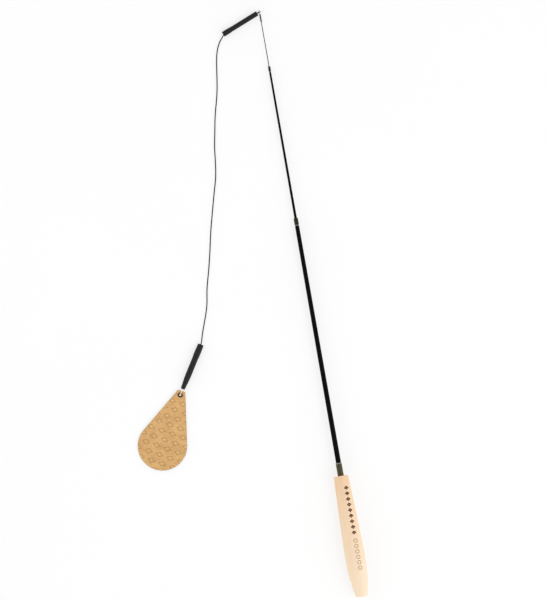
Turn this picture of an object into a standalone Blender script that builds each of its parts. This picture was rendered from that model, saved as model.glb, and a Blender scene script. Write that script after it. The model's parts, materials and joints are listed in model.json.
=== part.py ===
"""Telescopic cat teaser wand with a cord and a leather drop, modelled as an assembly.

The rod's sections slide into each other, the line swings about the eye at the rod's tip,
and the leather drop turns about its eyelet.  Lengths are real sizes in metres and +Z is up.
The wand lies on the ground along +Y, its butt at the low end, and rests on the belly of its
handle and on the sleeve of its line, as a wand does that has been put down.
"""

import bmesh
import bpy
import math
from mathutils import Vector
from mathutils.geometry import interpolate_bezier

MM = 0.001

# Clearances
FIT = 0.15 * MM                     # radial gap between pieces that fit or slide in each other
FINE_FIT = 0.12 * MM                # the same on the thinnest pieces
TIGHT_FIT = 0.08 * MM               # the same round soft cord that a crimp squeezes
SEAT_GAP = 0.3 * MM                 # gap between faces that rest on each other
GROUND_GAP = 0.05 * MM              # soft pieces lie this far above the ground

# Whip, the thin solid tip, with its stop bead, cap and eye
WHIP_RADIUS = 0.6 * MM
WHIP_TAPER = 0.1 * MM               # difference of radius between its foot and its tip
WHIP_TIP_RADIUS = WHIP_RADIUS - WHIP_TAPER
WHIP_HELD = 23.0 * MM
WHIP_SHOWN = 60.8 * MM
BEAD_LENGTH = 5.6 * MM
CAP_WALL = 0.33 * MM
CAP_RADIUS = WHIP_TIP_RADIUS + FINE_FIT + CAP_WALL
CAP_LENGTH = 10.7 * MM
CAP_SOCKET = 6.3 * MM
CAP_EDGE = 0.3 * MM
EYE_WIRE_RADIUS = 0.35 * MM
EYE_STEM_SHOWN = 0.9 * MM
EYE_STEM_HELD = 3.2 * MM

# Ferrule in the mid tube's mouth, round the whip
TIP_FERRULE_WALL = 0.26 * MM
TIP_HEAD_LENGTH = 6.8 * MM
TIP_HEAD_PROUD = 0.22 * MM
TIP_SPIGOT_LENGTH = 7.4 * MM
TIP_EDGE = 0.25 * MM
TIP_RING_LENGTH = 0.6 * MM
WHIP_BORE = WHIP_RADIUS + FINE_FIT
TIP_SPIGOT_RADIUS = WHIP_BORE + TIP_FERRULE_WALL

# Mid tube, the second section, with the bush that stops it from being drawn out
MID_TUBE_WALL = 0.28 * MM
MID_TUBE_TAPER = 0.48 * MM          # difference of radius between its foot and its mouth
MID_TUBE_MOUTH_BORE = TIP_SPIGOT_RADIUS + FINE_FIT
MID_TUBE_MOUTH_RADIUS = MID_TUBE_MOUTH_BORE + MID_TUBE_WALL
MID_TUBE_RADIUS = MID_TUBE_MOUTH_RADIUS + MID_TUBE_TAPER
MID_TUBE_HELD = 31.0 * MM
MID_TUBE_SHOWN = 199.2 * MM
STOP_BUSH_LENGTH = 10.0 * MM

# Ferrule in the outer tube's mouth, round the mid tube
MOUTH_FERRULE_WALL = 0.34 * MM
MOUTH_HEAD_LENGTH = 8.8 * MM
MOUTH_HEAD_PROUD = 0.1 * MM
MOUTH_SPIGOT_LENGTH = 11.2 * MM
MOUTH_EDGE = 0.35 * MM
MOUTH_RING_LENGTH = 1.0 * MM
MOUTH_SPIGOT_RADIUS = MID_TUBE_RADIUS + FIT + MOUTH_FERRULE_WALL

# Outer tube, the rod's first section, with the plug in its foot
OUTER_TUBE_WALL = 0.35 * MM
OUTER_TUBE_TAPER = 0.65 * MM        # difference of radius between its straight part and its mouth
OUTER_TUBE_MOUTH_BORE = MOUTH_SPIGOT_RADIUS + FIT
OUTER_TUBE_MOUTH_RADIUS = OUTER_TUBE_MOUTH_BORE + OUTER_TUBE_WALL
OUTER_TUBE_RADIUS = OUTER_TUBE_MOUTH_RADIUS + OUTER_TUBE_TAPER
OUTER_TUBE_DEPTH = 54.0 * MM
OUTER_TUBE_SHOWN = 341.2 * MM       # from the handle's top to the tube's mouth
PLUG_HEAD_LENGTH = 1.5 * MM
PLUG_SPIGOT_LENGTH = 6.5 * MM

# Collar between the handle and the rod
COLLAR_WALL = 0.43 * MM
COLLAR_BORE = OUTER_TUBE_RADIUS + FIT
COLLAR_RADIUS = COLLAR_BORE + COLLAR_WALL
COLLAR_DEPTH = 20.4 * MM
COLLAR_SHOWN = 16.1 * MM
COLLAR_EDGE = 0.3 * MM
COLLAR_RING_LENGTH = 1.2 * MM
TRIM_RING_PROUD = 0.06 * MM         # a trim ring stands this far outside what it finishes

# Handle, turned from one piece of wood
HANDLE_LENGTH = 164.4 * MM
HANDLE_BUTT_RADIUS = 7.6 * MM
HANDLE_BELLY_RADIUS = 13.5 * MM
HANDLE_BELLY_AT = 50.0 * MM
HANDLE_SHOULDER = 28.0 * MM         # run in which the belly passes into the straight taper
HANDLE_TOP_RADIUS = 9.8 * MM
HANDLE_TOP_EDGE = 1.2 * MM
HANDLE_BUTT_EDGE = 0.6 * MM

# Cord and the crimps and soft sleeves that hold its ends
CORD_RADIUS = 0.75 * MM
CORD_SPACING = 5.8 * MM
CORD_END_HELD = 21.0 * MM           # length of cord inside each sleeve
LOOP_END_GAP = 0.4 * MM             # from the ends of a loop to the cord's end inside the crimp
CRIMP_LENGTH = 14.0 * MM
CRIMP_WALL = 0.38 * MM
SLEEVE_EDGE = 0.3 * MM

# Upper end of the line: a loop of cord through the eye
EYE_PLAY = 0.65 * MM                # from the cord to the eye round it
LOOP_PLAY = 0.4 * MM                # from the eye's wire to each leg of the loop
LOOP_LEG_GAP = 0.2 * MM             # from the eye's plane to each leg inside the crimp
UPPER_CRIMP_PLAY = 0.19 * MM        # from the crimp to the sleeve round it
UPPER_SLEEVE_WALL = 1.0 * MM
UPPER_SWELL = 0.35 * MM             # the sleeve is this much thicker over the crimp
UPPER_MOUTH_NARROWING = 0.1 * MM    # and from there its mouth narrows by this
UPPER_YAW = math.radians(-68.2)     # turn of the line's upper end, from -Y toward +X
UPPER_LOOP_SPACING = 0.7 * MM
UPPER_SLEEVE_FROM = 3.6 * MM
UPPER_SLEEVE_LENGTH = 53.9 * MM
EYE_HOLE_RADIUS = CORD_RADIUS + EYE_PLAY
UPPER_LOOP_RISE = EYE_WIRE_RADIUS + CORD_RADIUS + LOOP_PLAY
UPPER_LOOP_PINCH = CORD_RADIUS + LOOP_LEG_GAP
UPPER_CRIMP_BORE = UPPER_LOOP_PINCH + CORD_RADIUS + TIGHT_FIT
UPPER_SLEEVE_BORE = UPPER_CRIMP_BORE + CRIMP_WALL + UPPER_CRIMP_PLAY
UPPER_SLEEVE_RADIUS = UPPER_SLEEVE_BORE + UPPER_SLEEVE_WALL
UPPER_SLEEVE_SWELL = UPPER_SLEEVE_RADIUS + UPPER_SWELL
# Where the loop's legs come together: distance from the eye in millimetres, and share of the rise
UPPER_LEG = ((3.2, 0.855), (5.0, 0.418), (8.0, 0.0), (12.0, 0.0))
# Where the sleeve swells over the crimp, in millimetres before its end
UPPER_SWELL_FROM = (14.0, 7.0, 2.5)

# Lower end of the line: a wire loop through the drop's eyelet
LURE_FROM_EYE = (-193.9 * MM, -489.0 * MM)
LOWER_YAW = math.radians(147.8)
LOWER_WIRE_RADIUS = 0.47 * MM
LOWER_LEG_GAP = 0.21 * MM           # from the sleeve's axis to each leg inside the crimp
LOWER_CRIMP_PLAY = 0.62 * MM        # from the crimp to the sleeve round it
LOWER_SLEEVE_WALL = 1.77 * MM
LOWER_END_WALL = 0.5 * MM           # the same at the loop's end, where the sleeve is thinnest
LOWER_SWELL = 0.28 * MM
LOWER_MOUTH_NARROWING = 0.17 * MM   # the sleeve is this much thinner where the cord leaves it
LOWER_LOOP_SPACING = 0.8 * MM
LOWER_SLEEVE_FROM = 8.6 * MM
LOWER_SLEEVE_LENGTH = 64.9 * MM
LOWER_LOOP_PINCH = LOWER_WIRE_RADIUS + LOWER_LEG_GAP
LOWER_CRIMP_BORE = LOWER_LOOP_PINCH + LOWER_WIRE_RADIUS + FIT
LOWER_SLEEVE_BORE = LOWER_CRIMP_BORE + CRIMP_WALL + LOWER_CRIMP_PLAY
LOWER_SLEEVE_RADIUS = LOWER_SLEEVE_BORE + LOWER_SLEEVE_WALL
LOWER_SLEEVE_END_RADIUS = LOWER_SLEEVE_BORE + LOWER_END_WALL
LOWER_SLEEVE_SWELL = LOWER_SLEEVE_RADIUS + LOWER_SWELL
LOWER_SLEEVE_MOUTH_RADIUS = LOWER_SLEEVE_RADIUS - LOWER_MOUTH_NARROWING
# Where the ground leg of the loop rises: millimetres past the sleeve's start, and rise
LOWER_LEG_RISE = ((-4.4, 0.0), (-2.8, 0.0), (-1.2, 0.12), (0.0, 0.68), (2.4, 1.33), (7.4, 1.98))
# How the sleeve widens: millimetres from its start, and share of the whole widening
LOWER_WIDENING = ((6.5, 0.354), (10.5, 0.63), (15.5, 0.882), (21.0, 1.0))
# Where the sleeve swells over the crimp, in millimetres before its end, and the swelling's share
LOWER_SWELL_AT = ((20.0, 0.0), (16.0, 1.0), (10.0, 1.0), (3.0, 0.107))

# Leather drop and its eyelet
UNDER_GAP = 0.26 * MM               # from the loop's ground leg to the leather over it
DROP_YAW = math.radians(-29.2)
DROP_RADIUS = 33.2 * MM
DROP_HOLE_TO_CENTRE = 72.5 * MM
DROP_HOLE_TO_TOP = 6.0 * MM
DROP_TOP_HALF_WIDTH = 5.6 * MM
DROP_CORNER = 1.5 * MM
DROP_THICKNESS = 2.0 * MM
DROP_EDGE = 0.35 * MM
DROP_LIFT = 2 * LOWER_WIRE_RADIUS + GROUND_GAP + UNDER_GAP
EYELET_BORE = 1.4 * MM
EYELET_WALL = 0.5 * MM
EYELET_REACH = 1.5 * MM             # of the flange past the barrel
EYELET_FLANGE = 0.45 * MM
EYELET_LIP = 0.3 * MM               # rounding of the bore's upper edge
EYELET_SLOPE = 0.5 * MM             # width of the flange's sloping rim
EYELET_RIM = 0.15 * MM              # height of the flange's outer edge
EYELET_SINK = 0.45 * MM             # depth of the ring pressed into the leather on each face
EYELET_BARREL_RADIUS = EYELET_BORE + EYELET_WALL
EYELET_FLANGE_RADIUS = EYELET_BARREL_RADIUS + EYELET_REACH
WASHER_REACH = 1.2 * MM
WASHER_RADIUS = EYELET_BARREL_RADIUS + WASHER_REACH
WASHER_THICKNESS = 0.35 * MM
CUT_PAST = 1.0 * MM                 # a cutter reaches this far past what it cuts

# Route of the free cord in millimetres from the eye, in plan, from the upper sleeve's end
# to the lower sleeve's end.  It lies on the ground all the way.
CORD_ROUTE_MM = (
    (-60.9, -33.6), (-65.9, -44.6), (-68.6, -57.2), (-70.5, -69.7), (-72.4, -82.3), (-74.6, -94.8),
    (-77.5, -107.2), (-80.8, -119.3), (-83.8, -131.6), (-86.2, -144.2), (-90.9, -169.0), (-93.2, -187.8),
    (-96.0, -206.5), (-102.6, -231.0), (-109.2, -255.4), (-115.6, -280.0), (-121.1, -304.8),
    (-127.0, -329.3), (-133.6, -353.8), (-138.4, -378.6), (-142.2, -390.6), (-146.5, -402.4),
    (-150.4, -413.4),
)
CORD_CLEAR = 8.0 * MM               # route points nearer than this to a sleeve's end are left out
# How the cord sags out of the sleeves, in millimetres: before the sleeve's end, sideways, down
UPPER_EXIT_MM = ((6.0, -0.4, 0.4), (0.0, -1.2, 0.8))
LOWER_EXIT_MM = ((0.0, 0.0, 1.12), (8.0, 0.0, 0.2))
UPPER_LEAD = 8.0 * MM               # straight part of the cord inside the upper sleeve
LOWER_LEAD = 6.0 * MM

# Facets
HANDLE_STEPS = 48
BUTT_STEPS = 10
SHOULDER_STEPS = 4
TUBE_STEPS = 24
WHIP_STEPS = 12
EYE_STEPS = 32
EYE_WIRE_STEPS = 10
STEM_STEPS = 16
WIRE_RESOLUTION = 2
SLEEVE_RESOLUTION = 6
HAIRPIN_STEPS = 8
ROUND_END_STEPS = 20
CORNER_STEPS = 4
EDGE_STEPS = 3
CURVE_STEPS = 12
LIE_ROUNDS = 20
MERGE_DISTANCE = 0.001 * MM
SMOOTH_ANGLE = math.radians(35)
AXIS_LENGTH = 10 * MM               # of the crosses that mark the joints

# Positions along the rod, from the butt
COLLAR_TOP = HANDLE_LENGTH + COLLAR_SHOWN
COLLAR_RING_FOOT = COLLAR_TOP + SEAT_GAP
COLLAR_RING_TOP = COLLAR_RING_FOOT + COLLAR_RING_LENGTH
OUTER_TUBE_FOOT = HANDLE_LENGTH - OUTER_TUBE_DEPTH
OUTER_TUBE_MOUTH = HANDLE_LENGTH + OUTER_TUBE_SHOWN
MOUTH_RING_FOOT = OUTER_TUBE_MOUTH + SEAT_GAP
MOUTH_HEAD_FOOT = MOUTH_RING_FOOT + MOUTH_RING_LENGTH + SEAT_GAP
MOUTH_TOP = MOUTH_HEAD_FOOT + MOUTH_HEAD_LENGTH
MOUTH_FOOT = MOUTH_HEAD_FOOT - MOUTH_SPIGOT_LENGTH
MID_TUBE_FOOT = MOUTH_TOP - MID_TUBE_HELD
MID_TUBE_MOUTH = MOUTH_TOP + MID_TUBE_SHOWN
TIP_RING_FOOT = MID_TUBE_MOUTH + SEAT_GAP
TIP_HEAD_FOOT = TIP_RING_FOOT + TIP_RING_LENGTH + SEAT_GAP
TIP_TOP = TIP_HEAD_FOOT + TIP_HEAD_LENGTH
TIP_FOOT = TIP_HEAD_FOOT - TIP_SPIGOT_LENGTH
WHIP_FOOT = TIP_TOP - WHIP_HELD
CAP_FOOT = TIP_TOP + WHIP_SHOWN
CAP_TOP = CAP_FOOT + CAP_LENGTH
EYE_RADIUS = EYE_HOLE_RADIUS + EYE_WIRE_RADIUS
EYE_AT = CAP_TOP + EYE_STEM_SHOWN + EYE_RADIUS + EYE_WIRE_RADIUS
EYE_HEIGHT = UPPER_SLEEVE_RADIUS + GROUND_GAP

# Positions along the line's two ends, from the eye and from the drop's hole
UPPER_END = UPPER_SLEEVE_FROM + UPPER_SLEEVE_LENGTH
LOWER_END = LOWER_SLEEVE_FROM + LOWER_SLEEVE_LENGTH
UPPER_CORD_START = UPPER_END - CORD_END_HELD
LOWER_CORD_START = LOWER_END - CORD_END_HELD
LOWER_AXIS = LOWER_SLEEVE_RADIUS + GROUND_GAP


def clear_scene():
    """Remove every object that a new file starts with."""
    for obj in list(bpy.data.objects):
        bpy.data.objects.remove(obj)


def new_collection(name):
    """Collection under the scene."""
    collection = bpy.data.collections.new(name)
    bpy.context.scene.collection.children.link(collection)
    return collection


def material(name, red, green, blue, roughness, metallic=0.0):
    """Principled material; the colour is given as it looks on a screen, from 0 to 255."""
    surface = bpy.data.materials.new(name)
    surface.use_nodes = True
    shader = surface.node_tree.nodes["Principled BSDF"]
    linear = [((value / 255 + 0.055) / 1.055) ** 2.4 for value in (red, green, blue)]
    shader.inputs["Base Color"].default_value = (*linear, 1.0)
    shader.inputs["Roughness"].default_value = roughness
    shader.inputs["Metallic"].default_value = metallic
    return surface


def frame(name, parent=None, location=(0, 0, 0), rotation=(0, 0, 0)):
    """Empty that carries pieces or marks a joint's axis."""
    empty = bpy.data.objects.new(name, None)
    empty.empty_display_size = AXIS_LENGTH
    empty.parent = parent
    empty.location = location
    empty.rotation_euler = rotation
    PARTS.objects.link(empty)
    return empty


def place(name, mesh, surface, parent, location=(0, 0, 0)):
    """Object for a finished mesh, smooth where its faces meet at a small angle."""
    mesh.name = name
    mesh.materials.clear()
    mesh.materials.append(surface)
    mesh.shade_smooth()
    mesh.set_sharp_from_angle(angle=SMOOTH_ANGLE)
    obj = bpy.data.objects.new(name, mesh)
    obj.parent = parent
    obj.location = location
    PARTS.objects.link(obj)
    return obj


def evaluated_mesh(obj):
    """Mesh of an object with its modifiers or its curve settings; the object is removed."""
    bpy.context.scene.collection.objects.link(obj)
    depsgraph = bpy.context.evaluated_depsgraph_get()
    mesh = bpy.data.meshes.new_from_object(obj.evaluated_get(depsgraph))
    bpy.data.objects.remove(obj)
    form = bmesh.new()
    form.from_mesh(mesh)
    bmesh.ops.remove_doubles(form, verts=form.verts, dist=MERGE_DISTANCE)
    form.to_mesh(mesh)
    form.free()
    return mesh


def arc(centre, radius, start, end, steps=EDGE_STEPS):
    """Points on an arc, angles in degrees from the first axis."""
    angles = [math.radians(start + (end - start) * i / steps) for i in range(steps + 1)]
    return [(centre[0] + radius * math.cos(a), centre[1] + radius * math.sin(a)) for a in angles]


def turned_mesh(profile, steps):
    """Solid turned about Z.

    The profile is a chain of (radius, height) points that runs down the outside.  It starts
    and ends on the axis, or closes on itself round a bore.
    """
    mesh = bpy.data.meshes.new("profile")
    count = len(profile)
    edges = [(i, i + 1) for i in range(count - 1)]
    if profile[0][0] > 0:
        edges.append((count - 1, 0))
    mesh.from_pydata([(radius, 0, height) for radius, height in profile], edges, [])
    obj = bpy.data.objects.new("profile", mesh)
    screw = obj.modifiers.new("turn", "SCREW")
    screw.axis = "Z"
    screw.steps = steps
    screw.render_steps = steps
    screw.use_merge_vertices = True
    screw.merge_threshold = MERGE_DISTANCE
    return evaluated_mesh(obj)


def turned(name, profile, steps, surface, parent, foot=0.0):
    """Turned piece whose foot stands at a height along its parent's axis."""
    return place(name, turned_mesh(profile, steps), surface, parent, (0, 0, foot))


def ring_profile(length, radius, bore, edge=0.0):
    """Half section of a plain ring or sleeve, its outer edges rounded."""
    if edge:
        outside = arc((radius - edge, length - edge), edge, 90, 0)
        outside += arc((radius - edge, edge), edge, 0, -90)
    else:
        outside = [(radius, length), (radius, 0)]
    return outside + [(bore, 0), (bore, length)]


def ferrule_profile(spigot, spigot_length, head, head_length, bore, edge):
    """Half section of a guide sleeve: a head on top of a spigot, with one bore through both."""
    length = spigot_length + head_length
    outside = arc((head - edge, length - edge), edge, 90, 0)
    outside += [(head, spigot_length), (spigot, spigot_length), (spigot, 0)]
    return outside + [(bore, 0), (bore, length)]


def tapered_tube_profile(length, foot_radius, mouth_radius, wall, straight=0.0):
    """Half section of a tube that is straight at its foot and then tapers to its mouth."""
    outside = [(mouth_radius, length), (foot_radius, straight)]
    bore = [(foot_radius - wall, straight), (mouth_radius - wall, length)]
    if straight:
        outside.append((foot_radius, 0))
        bore.insert(0, (foot_radius - wall, 0))
    return outside + bore


def smooth_curve(knots, spacing):
    """Points at even steps, about a spacing apart, on a smooth curve through the knots."""
    spans = [(b - a).length for a, b in zip(knots, knots[1:])]
    slopes = [(b - a) / span for a, b, span in zip(knots, knots[1:], spans)]
    tangents = [slopes[0]]
    for before, after, slope, next_slope in zip(spans, spans[1:], slopes, slopes[1:]):
        tangents.append((slope * after + next_slope * before) / (before + after))
    tangents.append(slopes[-1])
    path = [knots[0]]
    for i, span in enumerate(spans):
        leave = knots[i] + tangents[i] * span / 3
        reach = knots[i + 1] - tangents[i + 1] * span / 3
        path += interpolate_bezier(knots[i], leave, reach, knots[i + 1], CURVE_STEPS)[1:]
    return even_steps(path, spacing)


def even_steps(path, spacing):
    """The same path with its points at equal distances."""
    marks = [0.0]
    for a, b in zip(path, path[1:]):
        marks.append(marks[-1] + (b - a).length)
    count = max(2, round(marks[-1] / spacing))
    points = []
    span = 0
    for i in range(count + 1):
        mark = marks[-1] * i / count
        while span < len(path) - 2 and marks[span + 1] < mark:
            span += 1
        share = (mark - marks[span]) / (marks[span + 1] - marks[span])
        points.append(path[span].lerp(path[span + 1], share))
    return points


def tube_mesh(points, radii, resolution):
    """Round tube along points, with a radius at each point and flat ends."""
    curve = bpy.data.curves.new("tube", "CURVE")
    curve.dimensions = "3D"
    curve.bevel_depth = MM
    curve.bevel_resolution = resolution
    curve.use_fill_caps = True
    spline = curve.splines.new("POLY")
    spline.points.add(len(points) - 1)
    for point, position, radius in zip(spline.points, points, radii):
        point.co = (*position, 1.0)
        point.radius = radius / MM
    return evaluated_mesh(bpy.data.objects.new("tube", curve))


def plain_tube(name, points, radius, surface, parent):
    """Cord or wire of one radius along points."""
    mesh = tube_mesh(points, [radius] * len(points), WIRE_RESOLUTION)
    return place(name, mesh, surface, parent)


def cut(obj, cutter_mesh, name):
    """Take a cutter's shape out of an object; both lie in the same parent's frame."""
    cutter = bpy.data.objects.new(name, cutter_mesh)
    cutter.parent = obj.parent
    cutter.hide_render = True
    cutter.display_type = "WIRE"
    CUTTERS.objects.link(cutter)
    boolean = obj.modifiers.new(name, "BOOLEAN")
    boolean.operation = "DIFFERENCE"
    boolean.object = cutter


def handle_radius(height):
    """Outside of the handle: two parabolas that meet at the belly, then a straight taper."""
    run = height - HANDLE_BELLY_AT
    if run < 0:
        drop = HANDLE_BELLY_RADIUS - HANDLE_BUTT_RADIUS
        return HANDLE_BELLY_RADIUS - drop * (run / HANDLE_BELLY_AT) ** 2
    drop = HANDLE_BELLY_RADIUS - HANDLE_TOP_RADIUS
    slope = drop / (HANDLE_LENGTH - HANDLE_BELLY_AT - HANDLE_SHOULDER / 2)
    if run < HANDLE_SHOULDER:
        return HANDLE_BELLY_RADIUS - slope * run * run / (2 * HANDLE_SHOULDER)
    return HANDLE_BELLY_RADIUS - slope * (run - HANDLE_SHOULDER / 2)


def handle_outline():
    """Points down the outside of the handle, without its rounded ends."""
    butt_run = HANDLE_BELLY_AT - HANDLE_BUTT_EDGE
    butt = [HANDLE_BUTT_EDGE + butt_run * i / BUTT_STEPS for i in range(BUTT_STEPS)]
    shoulder = [HANDLE_BELLY_AT + HANDLE_SHOULDER * i / SHOULDER_STEPS for i in range(SHOULDER_STEPS + 1)]
    heights = butt + shoulder + [HANDLE_LENGTH - HANDLE_TOP_EDGE]
    return [(handle_radius(height), height) for height in reversed(heights)]


def make_handle(parent):
    """Wooden handle with a stepped bore for the collar and the outer tube."""
    outline = handle_outline()
    top_radius = outline[0][0]
    butt_radius = outline[-1][0]
    tube_bore = OUTER_TUBE_RADIUS + FIT
    collar_hole = COLLAR_RADIUS + FIT
    bore_foot = OUTER_TUBE_FOOT - PLUG_HEAD_LENGTH - 2 * SEAT_GAP
    ledge = HANDLE_LENGTH - COLLAR_DEPTH - SEAT_GAP
    profile = [(0, bore_foot), (tube_bore, bore_foot), (tube_bore, ledge), (collar_hole, ledge)]
    profile += [(collar_hole, HANDLE_LENGTH)]
    top_centre = (top_radius - HANDLE_TOP_EDGE, HANDLE_LENGTH - HANDLE_TOP_EDGE)
    profile += arc(top_centre, HANDLE_TOP_EDGE, 90, 0)
    profile += outline[1:-1]
    profile += arc((butt_radius - HANDLE_BUTT_EDGE, HANDLE_BUTT_EDGE), HANDLE_BUTT_EDGE, 0, -90)
    profile += [(0, 0)]
    turned("handle", profile, HANDLE_STEPS, WOOD, parent)


def make_collar(parent):
    """Metal collar, half of it inside the handle, and its light trim ring."""
    collar = ring_profile(COLLAR_DEPTH + COLLAR_SHOWN, COLLAR_RADIUS, COLLAR_BORE, COLLAR_EDGE)
    turned("collar", collar, TUBE_STEPS, BRONZE, parent, HANDLE_LENGTH - COLLAR_DEPTH)
    ring = ring_profile(COLLAR_RING_LENGTH, COLLAR_RADIUS + TRIM_RING_PROUD, COLLAR_BORE, COLLAR_EDGE)
    turned("collar_trim_ring", ring, TUBE_STEPS, TRIM, parent, COLLAR_RING_FOOT)


def make_outer_tube(parent):
    """Hollow first section, with the plug in its foot."""
    length = OUTER_TUBE_MOUTH - OUTER_TUBE_FOOT
    straight = COLLAR_RING_TOP - OUTER_TUBE_FOOT
    tube = tapered_tube_profile(
        length, OUTER_TUBE_RADIUS, OUTER_TUBE_MOUTH_RADIUS, OUTER_TUBE_WALL, straight)
    turned("outer_tube", tube, TUBE_STEPS, BLACK_ROD, parent, OUTER_TUBE_FOOT)
    spigot = OUTER_TUBE_RADIUS - OUTER_TUBE_WALL - FIT
    head_top = PLUG_HEAD_LENGTH
    plug_top = head_top + SEAT_GAP + PLUG_SPIGOT_LENGTH
    plug = [(0, plug_top), (spigot, plug_top), (spigot, head_top)]
    plug += [(OUTER_TUBE_RADIUS, head_top), (OUTER_TUBE_RADIUS, 0), (0, 0)]
    foot = OUTER_TUBE_FOOT - SEAT_GAP - PLUG_HEAD_LENGTH
    turned("tube_end_plug", plug, TUBE_STEPS, BLACK_PLASTIC, parent, foot)


def make_mouth_ferrule(parent):
    """Sleeve in the outer tube's mouth that guides the mid tube, and its trim ring."""
    head = OUTER_TUBE_MOUTH_RADIUS + MOUTH_HEAD_PROUD
    bore = MID_TUBE_RADIUS + FIT
    ferrule = ferrule_profile(
        MOUTH_SPIGOT_RADIUS, MOUTH_SPIGOT_LENGTH, head, MOUTH_HEAD_LENGTH, bore, MOUTH_EDGE)
    turned("mouth_ferrule", ferrule, TUBE_STEPS, DARK_METAL, parent, MOUTH_FOOT)
    ring = ring_profile(MOUTH_RING_LENGTH, head, MOUTH_SPIGOT_RADIUS + FIT)
    turned("mouth_trim_ring", ring, TUBE_STEPS, TRIM, parent, MOUTH_RING_FOOT)


def make_mid_tube(parent):
    """Hollow second section, with the bush on its foot."""
    length = MID_TUBE_MOUTH - MID_TUBE_FOOT
    tube = tapered_tube_profile(length, MID_TUBE_RADIUS, MID_TUBE_MOUTH_RADIUS, MID_TUBE_WALL)
    turned("mid_tube", tube, TUBE_STEPS, BLACK_ROD, parent, MID_TUBE_FOOT)
    bush = ring_profile(STOP_BUSH_LENGTH, OUTER_TUBE_MOUTH_BORE - FIT, MID_TUBE_RADIUS + FIT)
    turned("stop_bush", bush, TUBE_STEPS, BLACK_PLASTIC, parent,
           MOUTH_FOOT - SEAT_GAP - STOP_BUSH_LENGTH)


def make_tip_ferrule(parent):
    """Sleeve in the mid tube's mouth that guides the whip, and its trim ring."""
    head = MID_TUBE_MOUTH_RADIUS + TIP_HEAD_PROUD
    ferrule = ferrule_profile(
        TIP_SPIGOT_RADIUS, TIP_SPIGOT_LENGTH, head, TIP_HEAD_LENGTH, WHIP_BORE, TIP_EDGE)
    turned("tip_ferrule", ferrule, TUBE_STEPS, DARK_METAL, parent, TIP_FOOT)
    ring = ring_profile(TIP_RING_LENGTH, head, TIP_SPIGOT_RADIUS + FINE_FIT)
    turned("tip_trim_ring", ring, TUBE_STEPS, TRIM, parent, TIP_RING_FOOT)


def make_whip(parent):
    """Thin solid tip, the bead that stops it, and the cap on its end."""
    whip_length = CAP_FOOT + CAP_SOCKET - SEAT_GAP - WHIP_FOOT
    whip = [(0, whip_length), (WHIP_TIP_RADIUS, whip_length), (WHIP_RADIUS, 0), (0, 0)]
    turned("tip_whip", whip, WHIP_STEPS, FIBRE, parent, WHIP_FOOT)
    bead = ring_profile(BEAD_LENGTH, MID_TUBE_MOUTH_BORE - FIT, WHIP_BORE)
    turned("tip_stop_bead", bead, TUBE_STEPS, BLACK_PLASTIC, parent, TIP_FOOT - SEAT_GAP - BEAD_LENGTH)
    stem_hole = EYE_WIRE_RADIUS + FINE_FIT
    stem_foot = CAP_LENGTH - EYE_STEM_HELD - SEAT_GAP
    socket = WHIP_TIP_RADIUS + FINE_FIT
    cap = [(0, stem_foot), (stem_hole, stem_foot), (stem_hole, CAP_LENGTH)]
    cap += arc((CAP_RADIUS - CAP_EDGE, CAP_LENGTH - CAP_EDGE), CAP_EDGE, 90, 0)
    cap += [(CAP_RADIUS, 0), (socket, 0), (socket, CAP_SOCKET), (0, CAP_SOCKET)]
    turned("tip_cap", cap, TUBE_STEPS, BLACK_PLASTIC, parent, CAP_FOOT)


def make_eye(parent):
    """Wire ring that lies flat beyond the cap, with the stem that the cap holds."""
    bpy.ops.mesh.primitive_torus_add(
        major_segments=EYE_STEPS, minor_segments=EYE_WIRE_STEPS,
        major_radius=EYE_RADIUS, minor_radius=EYE_WIRE_RADIUS)
    ring = bpy.context.object
    ring_mesh = ring.data
    bpy.data.objects.remove(ring)
    eye = place("tip_eye", ring_mesh, NICKEL, parent, (0, 0, EYE_AT))
    eye.rotation_euler = (math.radians(90), 0, 0)
    stem_foot = CAP_TOP - EYE_STEM_HELD
    stem_length = EYE_AT - EYE_RADIUS - stem_foot
    stem = [(0, stem_length), (EYE_WIRE_RADIUS, stem_length), (EYE_WIRE_RADIUS, 0), (0, 0)]
    stem_piece = bpy.data.objects.new("eye_stem_form", turned_mesh(stem, STEM_STEPS))
    stem_piece.parent = parent
    stem_piece.location = (0, 0, stem_foot)
    stem_piece.hide_render = True
    stem_piece.display_type = "WIRE"
    CUTTERS.objects.link(stem_piece)
    union = eye.modifiers.new("stem", "BOOLEAN")
    union.operation = "UNION"
    union.object = stem_piece


def make_sleeve(name, start, radii, bore, surface, parent):
    """Soft tube that lies along the ground in its frame: +Z along it, +Y up.

    The radii are (distance from its start, radius) pairs.  Its underside follows the ground.
    """
    first, last = radii[0], radii[-1]
    ends = [(first[0], first[1] - SLEEVE_EDGE), (first[0] + SLEEVE_EDGE, first[1])]
    tail = [(last[0] - SLEEVE_EDGE, last[1]), (last[0], last[1] - SLEEVE_EDGE)]
    stations = ends + list(radii[1:-1]) + tail
    heights = [radius + GROUND_GAP for _, radius in stations]
    heights[0] = heights[1]
    heights[-1] = heights[-2]
    points = [Vector((0, h, start + along)) for h, (along, _) in zip(heights, stations)]
    shape = tube_mesh(points, [radius for _, radius in stations], SLEEVE_RESOLUTION)
    sleeve = place(name, shape, surface, parent)
    past = Vector((0, 0, CUT_PAST))
    bore_points = [points[0] - past] + points[1:-1] + [points[-1] + past]
    cut(sleeve, tube_mesh(bore_points, [bore] * len(points), SLEEVE_RESOLUTION), name + "_bore")


def make_crimp(name, centre, height, bore, parent):
    """Metal tube that joins a loop's two legs to the cord's end inside a sleeve."""
    mesh = turned_mesh(ring_profile(CRIMP_LENGTH, bore + CRIMP_WALL, bore), TUBE_STEPS)
    place(name, mesh, NICKEL, parent, (0, height, centre - CRIMP_LENGTH / 2))


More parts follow.
